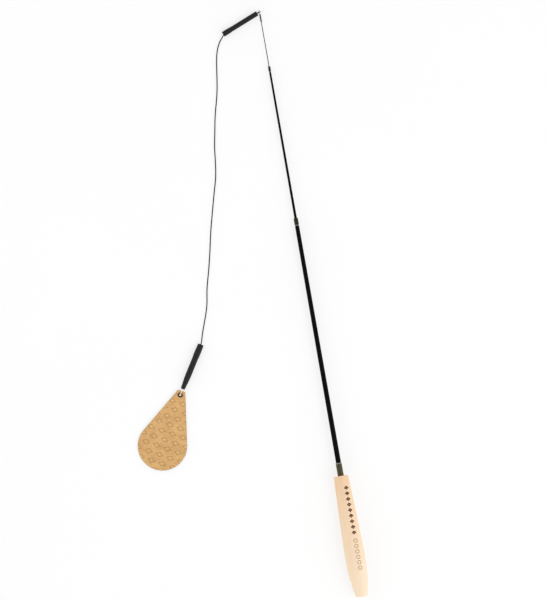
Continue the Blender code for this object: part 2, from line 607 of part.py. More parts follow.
def hairpin(rise, centre):
    """Bend of a loop that stands on edge, as (distance, height) from its upper to its lower leg."""
    return arc((rise, centre), rise, 90, 270, HAIRPIN_STEPS)


def make_upper_end(parent):
    """Loop through the eye, crimp and sleeve."""
    leg_end = UPPER_CORD_START - LOOP_END_GAP
    pinched = UPPER_LOOP_PINCH
    spread = UPPER_LOOP_RISE - pinched
    leg = [(leg_end, pinched), ((leg_end + UPPER_LEG[-1][0] * MM) / 2, pinched)]
    leg += [(along * MM, pinched + spread * share) for along, share in reversed(UPPER_LEG)]
    bend = hairpin(UPPER_LOOP_RISE, 0)
    outline = leg + bend + [(along, -height) for along, height in reversed(leg)]
    knots = [Vector((0, EYE_HEIGHT + height, along)) for along, height in outline]
    plain_tube("upper_loop", smooth_curve(knots, UPPER_LOOP_SPACING), CORD_RADIUS, BLACK_CORD, parent)
    make_crimp("upper_crimp", leg_end, EYE_HEIGHT, UPPER_CRIMP_BORE, parent)
    swell = [UPPER_SLEEVE_LENGTH - before * MM for before in UPPER_SWELL_FROM]
    radii = [(0, UPPER_SLEEVE_RADIUS), (swell[0], UPPER_SLEEVE_RADIUS)]
    radii += [(swell[1], UPPER_SLEEVE_SWELL), (swell[2], UPPER_SLEEVE_SWELL)]
    radii += [(UPPER_SLEEVE_LENGTH, UPPER_SLEEVE_SWELL - UPPER_MOUTH_NARROWING)]
    make_sleeve("upper_sleeve", UPPER_SLEEVE_FROM, radii, UPPER_SLEEVE_BORE, RUBBER, parent)


def make_lower_end(parent):
    """Wire loop through the eyelet, crimp and sleeve."""
    leg_end = LOWER_CORD_START - LOOP_END_GAP
    lower = LOWER_WIRE_RADIUS + GROUND_GAP
    upper = DROP_LIFT + DROP_THICKNESS + EYELET_FLANGE - EYELET_SINK + FIT + SEAT_GAP + LOWER_WIRE_RADIUS
    rise = (upper - lower) / 2
    held = [leg_end, (leg_end + LOWER_SLEEVE_LENGTH / 2) / 2, LOWER_SLEEVE_LENGTH / 3]
    top_leg = [(along, LOWER_AXIS + LOWER_LOOP_PINCH) for along in held]
    top_leg += [(LOWER_SLEEVE_FROM, upper), (LOWER_SLEEVE_FROM + LOWER_LEG_RISE[0][0] * MM, upper)]
    low_leg = [(LOWER_SLEEVE_FROM + past * MM, lower + up * MM) for past, up in LOWER_LEG_RISE]
    low_leg += [(along, LOWER_AXIS - LOWER_LOOP_PINCH) for along in reversed(held)]
    outline = top_leg + hairpin(rise, lower + rise) + low_leg
    knots = [Vector((0, height, along)) for along, height in outline]
    plain_tube("lower_loop", smooth_curve(knots, LOWER_LOOP_SPACING), LOWER_WIRE_RADIUS, NICKEL, parent)
    make_crimp("lower_crimp", leg_end, LOWER_AXIS, LOWER_CRIMP_BORE, parent)
    widening = LOWER_SLEEVE_RADIUS - LOWER_SLEEVE_END_RADIUS
    radii = [(0, LOWER_SLEEVE_END_RADIUS)]
    radii += [(along * MM, LOWER_SLEEVE_END_RADIUS + widening * share) for along, share in LOWER_WIDENING]
    radii += [
        (LOWER_SLEEVE_LENGTH - before * MM, LOWER_SLEEVE_RADIUS + LOWER_SWELL * share)
        for before, share in LOWER_SWELL_AT]
    radii += [(LOWER_SLEEVE_LENGTH, LOWER_SLEEVE_MOUTH_RADIUS)]
    make_sleeve("lower_sleeve", LOWER_SLEEVE_FROM, radii, LOWER_SLEEVE_BORE, RUBBER, parent)


def free_route():
    """Points of the cord's route that lie clear of both sleeves' ends, in metres from the eye."""
    route = [Vector((x * MM, y * MM)) for x, y in CORD_ROUTE_MM]
    lure = Vector(LURE_FROM_EYE)
    return [
        point for point in route
        if point.length > UPPER_END + CORD_CLEAR and (point - lure).length > LOWER_END + CORD_CLEAR]


def make_cord(parent, upper, lower):
    """Free cord from inside the upper sleeve, along the ground, to inside the lower sleeve."""
    bpy.context.view_layer.update()
    to_line = parent.matrix_world.inverted()
    from_upper = to_line @ upper.matrix_world
    from_lower = to_line @ lower.matrix_world
    starts = (UPPER_CORD_START, UPPER_CORD_START + UPPER_LEAD)
    knots = [from_upper @ Vector((0, EYE_HEIGHT, along)) for along in starts]
    knots += [
        from_upper @ Vector((side * MM, EYE_HEIGHT - down * MM, UPPER_END - before * MM))
        for before, side, down in UPPER_EXIT_MM]
    ground = CORD_RADIUS + GROUND_GAP - EYE_HEIGHT
    knots += [Vector((*point, ground)) for point in free_route()]
    knots += [
        from_lower @ Vector((side * MM, LOWER_AXIS - down * MM, LOWER_END - before * MM))
        for before, side, down in LOWER_EXIT_MM]
    ends = (LOWER_CORD_START + LOWER_LEAD, LOWER_CORD_START)
    knots += [from_lower @ Vector((0, LOWER_AXIS, along)) for along in ends]
    points = smooth_curve(knots, CORD_SPACING)
    for point in points:
        point.z = max(point.z, ground)
    plain_tube("cord", points, CORD_RADIUS, BLACK_CORD, parent)


def drop_outline():
    """Outline of the drop in its plane, the hole at the origin and the round end toward -Y."""
    run = DROP_HOLE_TO_CENTRE + DROP_HOLE_TO_TOP
    reach = math.hypot(run, DROP_TOP_HALF_WIDTH)
    turn = math.atan2(DROP_TOP_HALF_WIDTH, run)
    tangent = math.degrees(math.acos(DROP_RADIUS / reach) - turn)
    centre = (0, -DROP_HOLE_TO_CENTRE)
    round_end = arc(centre, DROP_RADIUS, 90 - tangent - 2 * math.degrees(turn), -90, ROUND_END_STEPS)
    corner = (DROP_TOP_HALF_WIDTH - DROP_CORNER, DROP_HOLE_TO_TOP - DROP_CORNER)
    out = round_end[0][0] - DROP_TOP_HALF_WIDTH
    down = DROP_HOLE_TO_TOP - round_end[0][1]
    lean = math.degrees(math.atan2(out, down))
    right = arc(corner, DROP_CORNER, 90, lean, CORNER_STEPS) + round_end
    left = [(-x, y) for x, y in reversed(right[:-1])]
    return right + left


def drop_mesh():
    """Flat leather shape with its edges a little rounded."""
    curve = bpy.data.curves.new("drop", "CURVE")
    curve.dimensions = "2D"
    curve.fill_mode = "BOTH"
    curve.extrude = DROP_THICKNESS / 2 - DROP_EDGE
    curve.bevel_depth = DROP_EDGE
    curve.bevel_resolution = 1
    curve.offset = -DROP_EDGE
    spline = curve.splines.new("POLY")
    outline = drop_outline()
    spline.points.add(len(outline) - 1)
    for point, (x, y) in zip(spline.points, outline):
        point.co = (x, y, 0, 1)
    spline.use_cyclic_u = True
    return evaluated_mesh(bpy.data.objects.new("drop", curve))


def make_drop(parent):
    """Leather drop with a ring pressed into each face round its hole, the eyelet and its washer."""
    drop = place("leather_drop", drop_mesh(), LEATHER, parent)
    half = DROP_THICKNESS / 2
    hole = EYELET_BARREL_RADIUS + FIT
    face = half - EYELET_SINK
    past = half + CUT_PAST
    flange_pocket = EYELET_FLANGE_RADIUS + FIT
    washer_pocket = WASHER_RADIUS + FIT
    hole_profile = [(0, past), (flange_pocket, past), (flange_pocket, face), (hole, face)]
    hole_profile += [(hole, -face), (washer_pocket, -face), (washer_pocket, -past), (0, -past)]
    cut(drop, turned_mesh(hole_profile, TUBE_STEPS), "eyelet_hole")
    flange_foot = face + FIT
    flange_top = flange_foot + EYELET_FLANGE
    barrel_foot = -face - FIT - WASHER_THICKNESS
    rim = EYELET_FLANGE_RADIUS
    eyelet = [(EYELET_BORE + EYELET_LIP, flange_top), (rim - EYELET_SLOPE, flange_top)]
    eyelet += [(rim, flange_foot + EYELET_RIM), (rim, flange_foot)]
    eyelet += [(EYELET_BARREL_RADIUS, flange_foot), (EYELET_BARREL_RADIUS, barrel_foot)]
    eyelet += [(EYELET_BORE, barrel_foot), (EYELET_BORE, flange_top - EYELET_LIP)]
    turned("eyelet", eyelet, TUBE_STEPS, ANTIQUE, parent)
    washer = ring_profile(WASHER_THICKNESS, WASHER_RADIUS, EYELET_BARREL_RADIUS + FIT)
    turned("eyelet_washer", washer, TUBE_STEPS, ANTIQUE, parent, barrel_foot)


def rod_lie():
    """Height of the butt's centre and downward tilt of the rod, lying on belly and sleeve."""
    outline = handle_outline()
    tilt = 0.0
    butt_height = 0.0
    for _ in range(LIE_ROUNDS):
        butt_height = max(h * math.sin(tilt) + r * math.cos(tilt) for r, h in outline)
        tilt = math.asin((butt_height - EYE_HEIGHT) / EYE_AT)
    return butt_height, tilt


def stand_on_origin(root, left_out):
    """Bring the middle of the object's base to the origin, measured without the named pieces."""
    bpy.context.view_layer.update()
    depsgraph = bpy.context.evaluated_depsgraph_get()
    corners = []
    for obj in PARTS.objects:
        if obj.type == "MESH" and obj.name not in left_out:
            shape = obj.evaluated_get(depsgraph)
            mesh = shape.to_mesh()
            corners += [obj.matrix_world @ vertex.co for vertex in mesh.vertices]
            shape.to_mesh_clear()
    low = [min(corner[axis] for corner in corners) for axis in range(3)]
    high = [max(corner[axis] for corner in corners) for axis in range(3)]
    root.location = (-(low[0] + high[0]) / 2, -(low[1] + high[1]) / 2, -low[2])


clear_scene()
PARTS = new_collection("telescopic_cat_teaser_wand")
CUTTERS = new_collection("cutters")

WOOD = material("wood", 240, 212, 176, 0.55)
BRONZE = material("collar_metal", 88, 84, 70, 0.35, 1.0)
TRIM = material("trim_metal", 190, 190, 186, 0.3, 1.0)
BLACK_ROD = material("rod_black", 22, 22, 24, 0.35)
DARK_METAL = material("ferrule_dark", 44, 44, 40, 0.4, 1.0)
FIBRE = material("whip_fibre", 66, 66, 58, 0.5)
BLACK_PLASTIC = material("black_plastic", 20, 20, 20, 0.45)
NICKEL = material("bright_wire", 200, 198, 190, 0.2, 1.0)
BLACK_CORD = material("cord_black", 22, 22, 24, 0.8)
RUBBER = material("sleeve_rubber", 30, 30, 32, 0.6)
LEATHER = material("leather_tan", 222, 178, 120, 0.6)
ANTIQUE = material("eyelet_antique", 92, 70, 46, 0.4, 1.0)

BUTT_HEIGHT, TILT = rod_lie()
ROOT = frame("wand_root")
ROD = frame("rod_axis", ROOT, (0, 0, BUTT_HEIGHT), (math.radians(-90) - TILT, 0, 0))
MID = frame("mid_slide", ROD)
TIP = frame("tip_slide", MID)
EYE_PLAN = EYE_AT * math.cos(TILT)
LINE = frame("line_pivot", ROOT, (0, EYE_PLAN, EYE_HEIGHT))
UPPER = frame("upper_line", LINE, (0, 0, -EYE_HEIGHT), (math.radians(90), 0, UPPER_YAW))
LOWER = frame("lower_line", LINE, (*LURE_FROM_EYE, -EYE_HEIGHT), (math.radians(90), 0, LOWER_YAW))
DROP_SLOPE = math.asin(DROP_LIFT / (DROP_HOLE_TO_CENTRE + DROP_RADIUS))
DROP_HEIGHT = DROP_LIFT + DROP_THICKNESS / 2 - EYE_HEIGHT
DROP = frame("drop_pivot", LINE, (*LURE_FROM_EYE, DROP_HEIGHT), (DROP_SLOPE, 0, DROP_YAW))

make_handle(ROD)
make_collar(ROD)
make_outer_tube(ROD)
make_mouth_ferrule(ROD)
make_mid_tube(MID)
make_tip_ferrule(MID)
make_whip(TIP)
make_eye(TIP)
make_upper_end(UPPER)
make_lower_end(LOWER)
make_cord(LINE, UPPER, LOWER)
make_drop(DROP)
stand_on_origin(ROOT, left_out=("cord",))
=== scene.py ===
"""Looks of a telescopic cat teaser wand: turned wood, lacquered tubes, cord and leather.

Laid out as a Blender add-on and run as a script.  Lengths are in metres, in the frame of the
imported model: the wand lies along +Y on a floor at Z 0 and its line lies to its -X side.
"""
import json
from bisect import bisect_left
from functools import partial
from itertools import accumulate
from math import acos, atan2, cos, degrees, hypot, pi, radians, sin, sqrt

import bmesh
import bpy
from bpy.props import FloatProperty, FloatVectorProperty, IntProperty, PointerProperty
from mathutils import Matrix, Vector
from mathutils.geometry import interpolate_bezier


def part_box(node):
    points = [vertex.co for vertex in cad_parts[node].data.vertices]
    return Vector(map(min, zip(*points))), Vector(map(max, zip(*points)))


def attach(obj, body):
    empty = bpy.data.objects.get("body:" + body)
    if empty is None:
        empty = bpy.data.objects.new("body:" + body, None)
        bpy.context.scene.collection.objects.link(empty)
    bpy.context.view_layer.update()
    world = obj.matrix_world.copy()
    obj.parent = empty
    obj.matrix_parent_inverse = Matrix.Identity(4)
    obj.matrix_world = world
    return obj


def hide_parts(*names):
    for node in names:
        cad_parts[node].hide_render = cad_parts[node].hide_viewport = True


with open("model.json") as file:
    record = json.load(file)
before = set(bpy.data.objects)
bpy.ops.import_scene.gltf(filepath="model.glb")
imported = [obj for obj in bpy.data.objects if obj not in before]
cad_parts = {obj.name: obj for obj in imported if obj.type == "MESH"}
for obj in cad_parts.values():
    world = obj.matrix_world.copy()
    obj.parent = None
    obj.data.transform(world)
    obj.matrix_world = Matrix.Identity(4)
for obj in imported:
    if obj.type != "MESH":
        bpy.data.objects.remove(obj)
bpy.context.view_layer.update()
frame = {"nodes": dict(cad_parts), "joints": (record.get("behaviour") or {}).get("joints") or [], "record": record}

bl_info = {
    "name": "Telescopic Cat Teaser Wand",
    "version": (1, 0, 0),
    "blender": (4, 5, 0),
    "location": "View3D > Sidebar > Wand",
    "description": "Builds the looks of a telescopic cat teaser wand round its packed model",
    "category": "Object",
}

MM = 0.001
UP = Vector((0, 0, 1))
SIDE = Vector((1, 0, 0))

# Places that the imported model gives: the butt, the rod's direction, the eye and the leather's hole
JOINTS = {joint["name"]: joint for joint in frame["joints"]}
BUTT_FACE = frame["record"]["mounts"][0]
BUTT = Vector(BUTT_FACE["pos_m"])
ROD_WAY = -Vector(BUTT_FACE["axis"]).normalized()
EYE = Vector(JOINTS["line_swing"]["pos_m"])
HOLE = Vector(JOINTS["drop_swing"]["pos_m"])
HOLE_AXIS = Vector(JOINTS["drop_swing"]["axis"]).normalized()

# Route of the free cord in millimetres from the eye, in plan, from the upper sleeve's end to
# the lower sleeve's end.  It lies on the floor all the way.
CORD_ROUTE_MM = (
    (-60.9, -32.6), (-65.9, -44.6), (-68.6, -57.2), (-70.5, -69.7), (-72.4, -82.3), (-74.6, -94.8),
    (-77.5, -107.2), (-80.8, -119.3), (-83.8, -131.6), (-86.2, -144.2), (-90.9, -169.0),
    (-93.2, -187.8), (-96.0, -206.5), (-102.6, -231.0), (-109.2, -255.4), (-115.6, -280.0),
    (-121.1, -304.8), (-127.0, -329.3), (-133.6, -353.8), (-138.4, -378.6), (-142.2, -390.6),
    (-146.5, -402.4), (-150.4, -413.4))
# Where the wire loop's lower leg rises from the floor: distance past the sleeve's start, and rise
LOW_LEG_RISE_MM = ((-4.4, 0.0), (-2.8, 0.0), (-1.2, 0.12), (0.0, 0.68), (2.4, 1.33), (7.4, 1.98))
FLOOR_GAP = 0.05 * MM

# Camera's place in plan, and the softboxes: place, side and the setting of their power
VIEW_CENTRE = (0.0755, 0.0131)
SENSOR_WIDTH = 36.0
FLOOR_HALF = 15.0
SOFTBOXES = (
    ("key_softbox", (1.1, -0.9, 1.7), 1.4, "key_power"),
    ("fill_softbox", (-1.3, 0.9, 1.6), 1.6, "fill_power"))

# Smoothness of the finished meshes
ROUND_SIDES = 96
HANDLE_SIDES = 128
SLEEVE_SIDES = 72
HOLE_SIDES = 64
EYE_STEPS = 48
WHIP_SIDES = 32
CORD_SIDES = 24
WIRE_SIDES = 20
EDGE_STEPS = 6
CURVE_STEPS = 12
BRAID_STEP = 0.42 * MM
SMOOTH_ANGLE = radians(32)
LEATHER_ANGLE = radians(50)

# How a pattern is drawn out: not at all, along the rod, or in rings round it
EVEN = (1, 1, 1)
ALONG_ROD = (1, 0.02, 1)
ROUND_ROD = (0.02, 1, 0.02)

# Plated metals: group and name of the shade, roughness, and width of the lathe's lines in mm
METALS = {
    # On wire and crimps: nearly white, with a soft gleam
    "nickel_plate": ("line", "wire_colour", 0.26, 0.2),
    # On the collar: dark olive, half matt
    "bronzed_brass": ("rod", "collar_colour", 0.4, 0.25),
    # On the trim rings: warm light grey, half matt
    "dulled_nickel": ("rod", "ring_colour", 0.4, 0.2),
    # On the ferrules: nearly black, with a dull gleam
    "blackened_brass": ("rod", "ferrule_colour", 0.42, 0.25),
    # On the eyelet: reddish brown, with a dull gleam
    "antiqued_brass": ("drop", "brass", 0.38, 0.3)}


def linear(hex_colour):
    """Linear colour of an sRGB hex value."""
    channels = [int(hex_colour[i:i + 2], 16) / 255 for i in (1, 3, 5)]
    return tuple(c / 12.92 if c <= 0.04045 else ((c + 0.055) / 1.055) ** 2.4 for c in channels)


def length(name, description, millimetres):
    """Length property whose default is given in millimetres."""
    return FloatProperty(
        name=name, description=description, default=millimetres * MM, min=0.001 * MM,
        unit="LENGTH", subtype="DISTANCE", precision=5)


def angle(name, description, default):
    """Angle property whose default is given in degrees."""
    return FloatProperty(
        name=name, description=description, default=radians(default), subtype="ANGLE", unit="ROTATION")


def colour(name, description, hex_colour):
    """Colour property whose default is an sRGB hex value."""
    return FloatVectorProperty(
        name=name, description=description, default=linear(hex_colour), subtype="COLOR",
        size=3, min=0.0, max=1.0)


class WandStage(bpy.types.PropertyGroup):
    """Floor, light and camera."""

    floor_colour: colour("Floor", "Opal acrylic sheet", "#8F8F8F")
    floor_glow: FloatProperty(
        name="Floor glow", description="Light that comes through the sheet from below", default=0.685,
        min=0.0)
    sky_colour: colour("Sky", "Light from all round", "#FFFFFF")
    camera_height: length("Camera height", "From the floor to the lens", 10000)
    field_height: length("Field", "Long side of the picture, measured on the floor", 807)
    camera_roll: angle("Camera roll", "Turn of the picture against the rod", -9.94)
    key_power: FloatProperty(
        name="Key light", description="Power of the main softbox", default=15.0, unit="POWER")
    fill_power: FloatProperty(
        name="Fill light", description="Power of the other softbox", default=8.0, unit="POWER")


class WandHandle(bpy.types.PropertyGroup):
    """Turned handle and the marks burnt into it."""

    belly_at: length("Belly at", "From the butt to the thickest place", 50.0)
    shoulder: length("Shoulder", "Run in which the belly passes into the taper", 28.0)
    top_edge: length("Top edge", "Radius of the edge round the collar's bore", 1.2)
    butt_edge: length("Butt edge", "Radius of the edge at the butt", 0.6)
    fit: length("Fit", "Radial gap round the collar and the tube", 0.15)
    wood_light: colour("Light wood", "Early wood of the beech", "#ECD7BC")
    wood_dark: colour("Dark wood", "Late wood of the beech", "#DDB489")
    # Brown of the burnt marks, also painted as shade round the collar's bore
    scorch: colour("Scorch", "Wood that a hot iron has browned", "#3A1D08")
    mark_offset: length("Mark offset", "From the handle's middle line to the row of marks", 4.3)
    mark_size: length("Mark size", "Width of one burnt mark", 6.4)
    mark_pitch: length("Mark pitch", "From one burnt mark to the next", 7.6)
    mark_line: length("Mark line", "Width of a burnt line", 1.12)
    scribed_pitch: length("Scribed pitch", "From one scribed ring to the next", 7.4)
    scribed_line: length("Scribed line", "Width of a scribed line", 0.75)
    mark_proud: length("Mark relief", "Half the thickness of a mark's skin", 0.04)


class WandRod(bpy.types.PropertyGroup):
    """Collar, tubes, ferrules, whip and eye."""

    edge: length("Edge", "Radius of the small edges of metal pieces", 0.3)
    fine_edge: length("Fine edge", "The same on the rings and the cap", 0.16)
    tube_wall: length("Tube wall", "Wall of the outer tube", 0.35)
    mid_wall: length("Mid wall", "Wall of the mid tube", 0.28)
    straight: length("Straight part", "Outer tube's untapered part, from its foot", 72.0)
    lacquer: colour("Lacquer", "Black of the tubes", "#050504")
    collar_colour: colour("Collar", "Olive bronze of the collar", "#504D3B")
    ferrule_colour: colour("Ferrules", "Blackened brass", "#32312A")
    ring_colour: colour("Rings", "Dulled nickel of the trim rings", "#918E83")
    # Brown of the band at the collar's foot: partly glue, partly painted shade where the collar enters the wood
    seam: colour("Seam", "Brown glue at the collar's foot", "#38220F")
    whip_colour: colour("Whip", "Bare glass fibre", "#171713")


class WandLine(bpy.types.PropertyGroup):
    """Cord, loops and sleeves."""

    cord_radius: length("Cord radius", "Half the thickness of the cord", 0.75)
    end_held: length("Held end", "Length of cord inside each sleeve", 21.0)
    strands: IntProperty(
        name="Strands", description="Strands of the braid that run each way", default=6, min=3)
    braid_pitch: length("Braid pitch", "Length in which a strand goes once round", 7.0)
    braid_relief: length("Braid relief", "Depth of the valleys between strands", 0.11)
    upper_yaw: angle("Upper yaw", "Upper sleeve's direction, from -Y toward +X", -68.2)
    lower_yaw: angle("Lower yaw", "Lower sleeve's direction, from -Y toward +X", 147.8)
    cord_colour: colour("Cord", "Black polyester yarn", "#19191A")
    sleeve_colour: colour("Sleeve", "Black heat-shrunk tube", "#1E1E1F")
    wire_colour: colour("Wire", "Nickel-plated wire", "#EADFD6")


class WandDrop(bpy.types.PropertyGroup):
    """Leather drop with its pressed pattern, and its eyelet."""

    yaw: angle("Yaw", "Turn of the drop, 0 with its round end toward -Y", -29.2)
    radius: length("Radius", "Round end of the drop", 33.2)
    hole_to_centre: length("Hole to centre", "From the hole to the round end's centre", 72.5)
    hole_to_top: length("Hole to top", "From the hole to the straight end", 6.0)
    top_half_width: length("Half width", "Half the width of the straight end", 5.6)
    corner: length("Corner", "Radius of the straight end's corners", 1.5)
    thickness: length("Thickness", "Of the leather", 2.0)
    edge: length("Edge", "Radius of the worn edges", 0.35)
    pattern_step: length("Pattern step", "Spacing of the pressed pattern along a row", 15.2)
    pattern_row: length("Pattern row", "Spacing of the rows", 10.6)
    lozenge_long: length("Lozenge length", "Half the length of a pressed lozenge", 4.9)
    lozenge_wide: length("Lozenge width", "Half the width of a pressed lozenge", 3.1)
    line_width: length("Line width", "Width of the pressed line", 0.85)
    press_depth: length("Press depth", "Depth of the pressed line", 0.09)
    leather: colour("Leather", "Tan of the grain side", "#DEB175")
    # Painted highlight in the middle of each lozenge
    leather_dark: colour("Dark leather", "Pressed and darkened leather", "#9C7340")
    leather_light: colour("Light leather", "Middle of a lozenge", "#E0B985")
    edge_paint: colour("Edge paint", "Paint on the cut edge", "#6F6D68")
    brass: colour("Eyelet", "Antiqued brass", "#6B4034")


def settings(name):
    """Property group of that name on the scene."""
    return getattr(bpy.context.scene, "wand_" + name)


def turns(count):
    """Angles of a full turn in even steps."""
    return [2 * pi * i / count for i in range(count)]


def arc(centre, radius, start, end, steps=EDGE_STEPS):
    """Points on an arc, angles in degrees from the first axis."""
    angles = [radians(start + (end - start) * i / steps) for i in range(steps + 1)]
    return [(centre[0] + radius * cos(a), centre[1] + radius * sin(a)) for a in angles]


def axes_at(origin, *axes):
    """Matrix from a place with its own three axes to the model's frame."""
    return Matrix.Translation(origin) @ Matrix(axes).transposed().to_4x4()


# Heights along the rod, measured from the butt
ROD = axes_at(BUTT, SIDE, ROD_WAY.cross(SIDE), ROD_WAY)


def line_frame(origin, yaw):
    """Matrix of a stretch of the line: +Z along it, +Y up from the floor."""
    along = Vector((sin(yaw), -cos(yaw), 0))
    return axes_at((origin.x, origin.y, 0), UP.cross(along), UP, along)


def drop_frame():
    """Matrix of the leather: the hole at the origin, the round end toward -Y, +Z its face."""
    ahead = Matrix.Rotation(settings("drop").yaw, 3, "Z") @ Vector((0, 1, 0))
    side = ahead.cross(HOLE_AXIS).normalized()
    return axes_at(HOLE, side, HOLE_AXIS.cross(side), HOLE_AXIS)


class Measured:
    """Sizes of a turned CAD node: heights along the rod and radii about it."""

    def __init__(self, node):
        to_rod = ROD.inverted()
        places = [to_rod @ vertex.co for vertex in frame["nodes"][node].data.vertices]
        self.rings = [(place.z, hypot(place.x, place.y)) for place in places]
        heights, radii = zip(*self.rings)
        self.foot, self.top = min(heights), max(heights)
        self.bore, self.radius = min(radii), max(radii)

    def radius_at(self, height, reach=0.2 * MM):
        """Largest radius within reach of a height."""
        return max(radius for z, radius in self.rings if abs(z - height) < reach)


def placed(name, data):
    """Object for a mesh, a camera or a light, in the scene and at the origin."""
    made = bpy.data.objects.new(name, data)
    bpy.context.scene.collection.objects.link(made)
    return made


def shaded(mesh, sharp=SMOOTH_ANGLE):
    """The mesh, smooth but for edges that are sharper than an angle."""
    mesh.shade_smooth()
    mesh.set_sharp_from_angle(angle=sharp)
    return mesh


def mesh_piece(name, points, faces):
    """Closed mesh object with its doubles merged and its faces pointing outwards."""
    mesh = bpy.data.meshes.new(name)
    mesh.from_pydata(points, [], faces)
    form = bmesh.new()
    form.from_mesh(mesh)
    bmesh.ops.remove_doubles(form, verts=form.verts, dist=0.0005 * MM)
    bmesh.ops.recalc_face_normals(form, faces=form.faces)
    form.to_mesh(mesh)
    form.free()
    return placed(name, shaded(mesh))


def skin(name, rings, joined=False):
    """Closed body over rings of points; joined goes round from the last ring to the first."""
    sides = len(rings[0])
    points = [point for ring in rings for point in ring]
    faces = []
    for i in range(len(rings) if joined else len(rings) - 1):
        low, high = i * sides, (i + 1) % len(rings) * sides
        for j in range(sides):
            k = (j + 1) % sides
            faces.append((low + j, low + k, high + k, high + j))
    if not joined:
        for start in (0, (len(rings) - 1) * sides):
            points.append(sum(points[start:start + sides], Vector()) / sides)
            faces += [(start + j, start + (j + 1) % sides, len(points) - 1) for j in range(sides)]
    return mesh_piece(name, points, faces)


def turned(name, profile, bored=True, sides=ROUND_SIDES, place=ROD):
    """Body turned about the Z axis of a place from a chain of (radius, height) points."""
    return skin(name, [
        [place @ Vector((radius * cos(a), radius * sin(a), height)) for a in turns(sides)]
        for radius, height in profile], joined=bored)


def lengths(path):
    """Distances from each point of a path to the next."""
    return [(b - a).length for a, b in zip(path, path[1:])]


def smooth_curve(knots, spacing):
    """Points at even steps, about a spacing apart, on a smooth curve through the knots."""
    spans = lengths(knots)
    slopes = [(b - a) / span for a, b, span in zip(knots, knots[1:], spans)]
    tangents = [slopes[0]]
    for before, after, slope, next_slope in zip(spans, spans[1:], slopes, slopes[1:]):
        tangents.append((slope * after + next_slope * before) / (before + after))
    tangents.append(slopes[-1])
    path = [knots[0]]
    for i, span in enumerate(spans):
        leave = knots[i] + tangents[i] * span / 3
        reach = knots[i + 1] - tangents[i + 1] * span / 3
        path += interpolate_bezier(knots[i], leave, reach, knots[i + 1], CURVE_STEPS)[1:]
    return even_steps(path, spacing)


def even_steps(path, spacing):
    """The same path with its points at equal distances."""
    marks = list(accumulate(lengths(path), initial=0.0))
    count = max(2, round(marks[-1] / spacing))
    points = []
    for i in range(count + 1):
        mark = marks[-1] * i / count
        span = max(0, bisect_left(marks, mark, hi=len(path) - 1) - 1)
        share = (mark - marks[span]) / (marks[span + 1] - marks[span])
        points.append(path[span].lerp(path[span + 1], share))
    return points


def swept(name, points, radius, joined=False):
    """Round wire along points; joined closes it into a ring."""
    last = len(points) - 1
    side = UP
    rings = []
    for i, point in enumerate(points):
        before = points[i - 1] if i or joined else point
        after = points[(i + 1) % len(points)] if i < last or joined else point
        way = (after - before).normalized()
        side = (side - way * side.dot(way)).normalized()
        across = way.cross(side)
        rings.append([point + (side * cos(a) + across * sin(a)) * radius for a in turns(WIRE_SIDES)])
    return skin(name, rings, joined=joined)


def applied(carrier, *helpers):
    """Plain mesh of an object with its modifiers; it and its helpers are removed."""
    depsgraph = bpy.context.evaluated_depsgraph_get()
    mesh = bpy.data.meshes.new_from_object(carrier.evaluated_get(depsgraph))
    for spent in (carrier, *helpers):
        bpy.data.objects.remove(spent)
    return mesh


def combined(body, other, operation, solver):
    """Mesh of a body with another body joined to it or cut out of it; both are removed."""
    modifier = body.modifiers.new("combined", "BOOLEAN")
    modifier.operation = operation
    modifier.solver = solver
    modifier.object = other
    return applied(body, other)


def add(tree, kind, *feeds, **named):
    """Add a node with its settings and links.

    kind is its class without the family in front, and its operation, if it has one, after a dot.
    Inputs are fed in order or by name, their names with a capital and settings without one.
    """
    kind, _, operation = kind.partition(".")
    family = "GeometryNode" if tree.type == "GEOMETRY" else "ShaderNode"
    made = tree.nodes.new(next(
        front + kind for front in (family, "ShaderNode", "Node") if hasattr(bpy.types, front + kind)))
    if operation:
        made.operation = operation
    for name in [name for name in named if name[0].islower()]:
        setattr(made, name, named.pop(name))
    return feed(tree, made, *feeds, **named)


def feed(tree, node, *feeds, **named):
    """Feed a node's inputs with plain values, sockets, or nodes, whose output in use is taken."""
    for key, value in (*enumerate(feeds), *named.items()):
        socket = node.inputs[key] if isinstance(key, int) else next(
            entry for entry in node.inputs if entry.name == key.replace("_", " ") and entry.enabled)
        if isinstance(value, bpy.types.Node):
            value = next(output for output in value.outputs if output.enabled)
        if isinstance(value, bpy.types.NodeSocket):
            tree.links.new(value, socket)
        else:
            socket.default_value = value
    return node


def surface(name, **sockets):
    """New material, its node adder and the place in the model that its patterns read."""
    look = bpy.data.materials.new(name)
    look.use_nodes = True
    node = partial(add, look.node_tree)
    return dress(look, **sockets), node, node("TexCoord").outputs["Object"]


def dress(look, **sockets):
    """The material, its shader's sockets fed with plain values or nodes."""
    tree = look.node_tree
    feed(tree, tree.nodes["Principled BSDF"], **sockets)
    return look


def solid(shade):
    """Colour with its alpha, from a linear colour or an sRGB hex value."""
    return (*(linear(shade) if isinstance(shade, str) else shade), 1.0)


def grained(name, grains, tone, rough=None, relief=None, **sockets):
    """Material whose tone, gloss and relief follow the grains that it is made of.

    grains: name = size in mm, detail, roughness of the noise, how it is drawn out.
    tone: grain, its range, and a shade for either end.  rough: grain and the roughness at its low
    and high places.  relief: grain, strength, and depth in mm.
    """
    look, node, place = surface(name, **sockets)
    noises = {}
    for label, (size, detail, harshness, drawn_out) in grains.items():
        noises[label] = node(
            "TexNoise", Vector=node("Mapping", Vector=place, Scale=drawn_out), Scale=1 / (size * MM),
            Detail=detail, Roughness=harshness)
    grain, low, high, dark, light = tone
    share = node("MapRange", Value=noises[grain], From_Min=low, From_Max=high)
    dress(look, Base_Color=node("Mix", Factor=share, A=solid(dark), B=solid(light), data_type="RGBA"))
    if rough:
        grain, low, high = rough
        dress(look, Roughness=node(
            "MapRange", Value=noises[grain], From_Min=0.3, From_Max=0.7, To_Min=low, To_Max=high))
    if relief:
        grain, strength, depth = relief
        dress(look, Normal=node("Bump", Strength=strength, Distance=depth * MM, Height=noises[grain]))
    return look


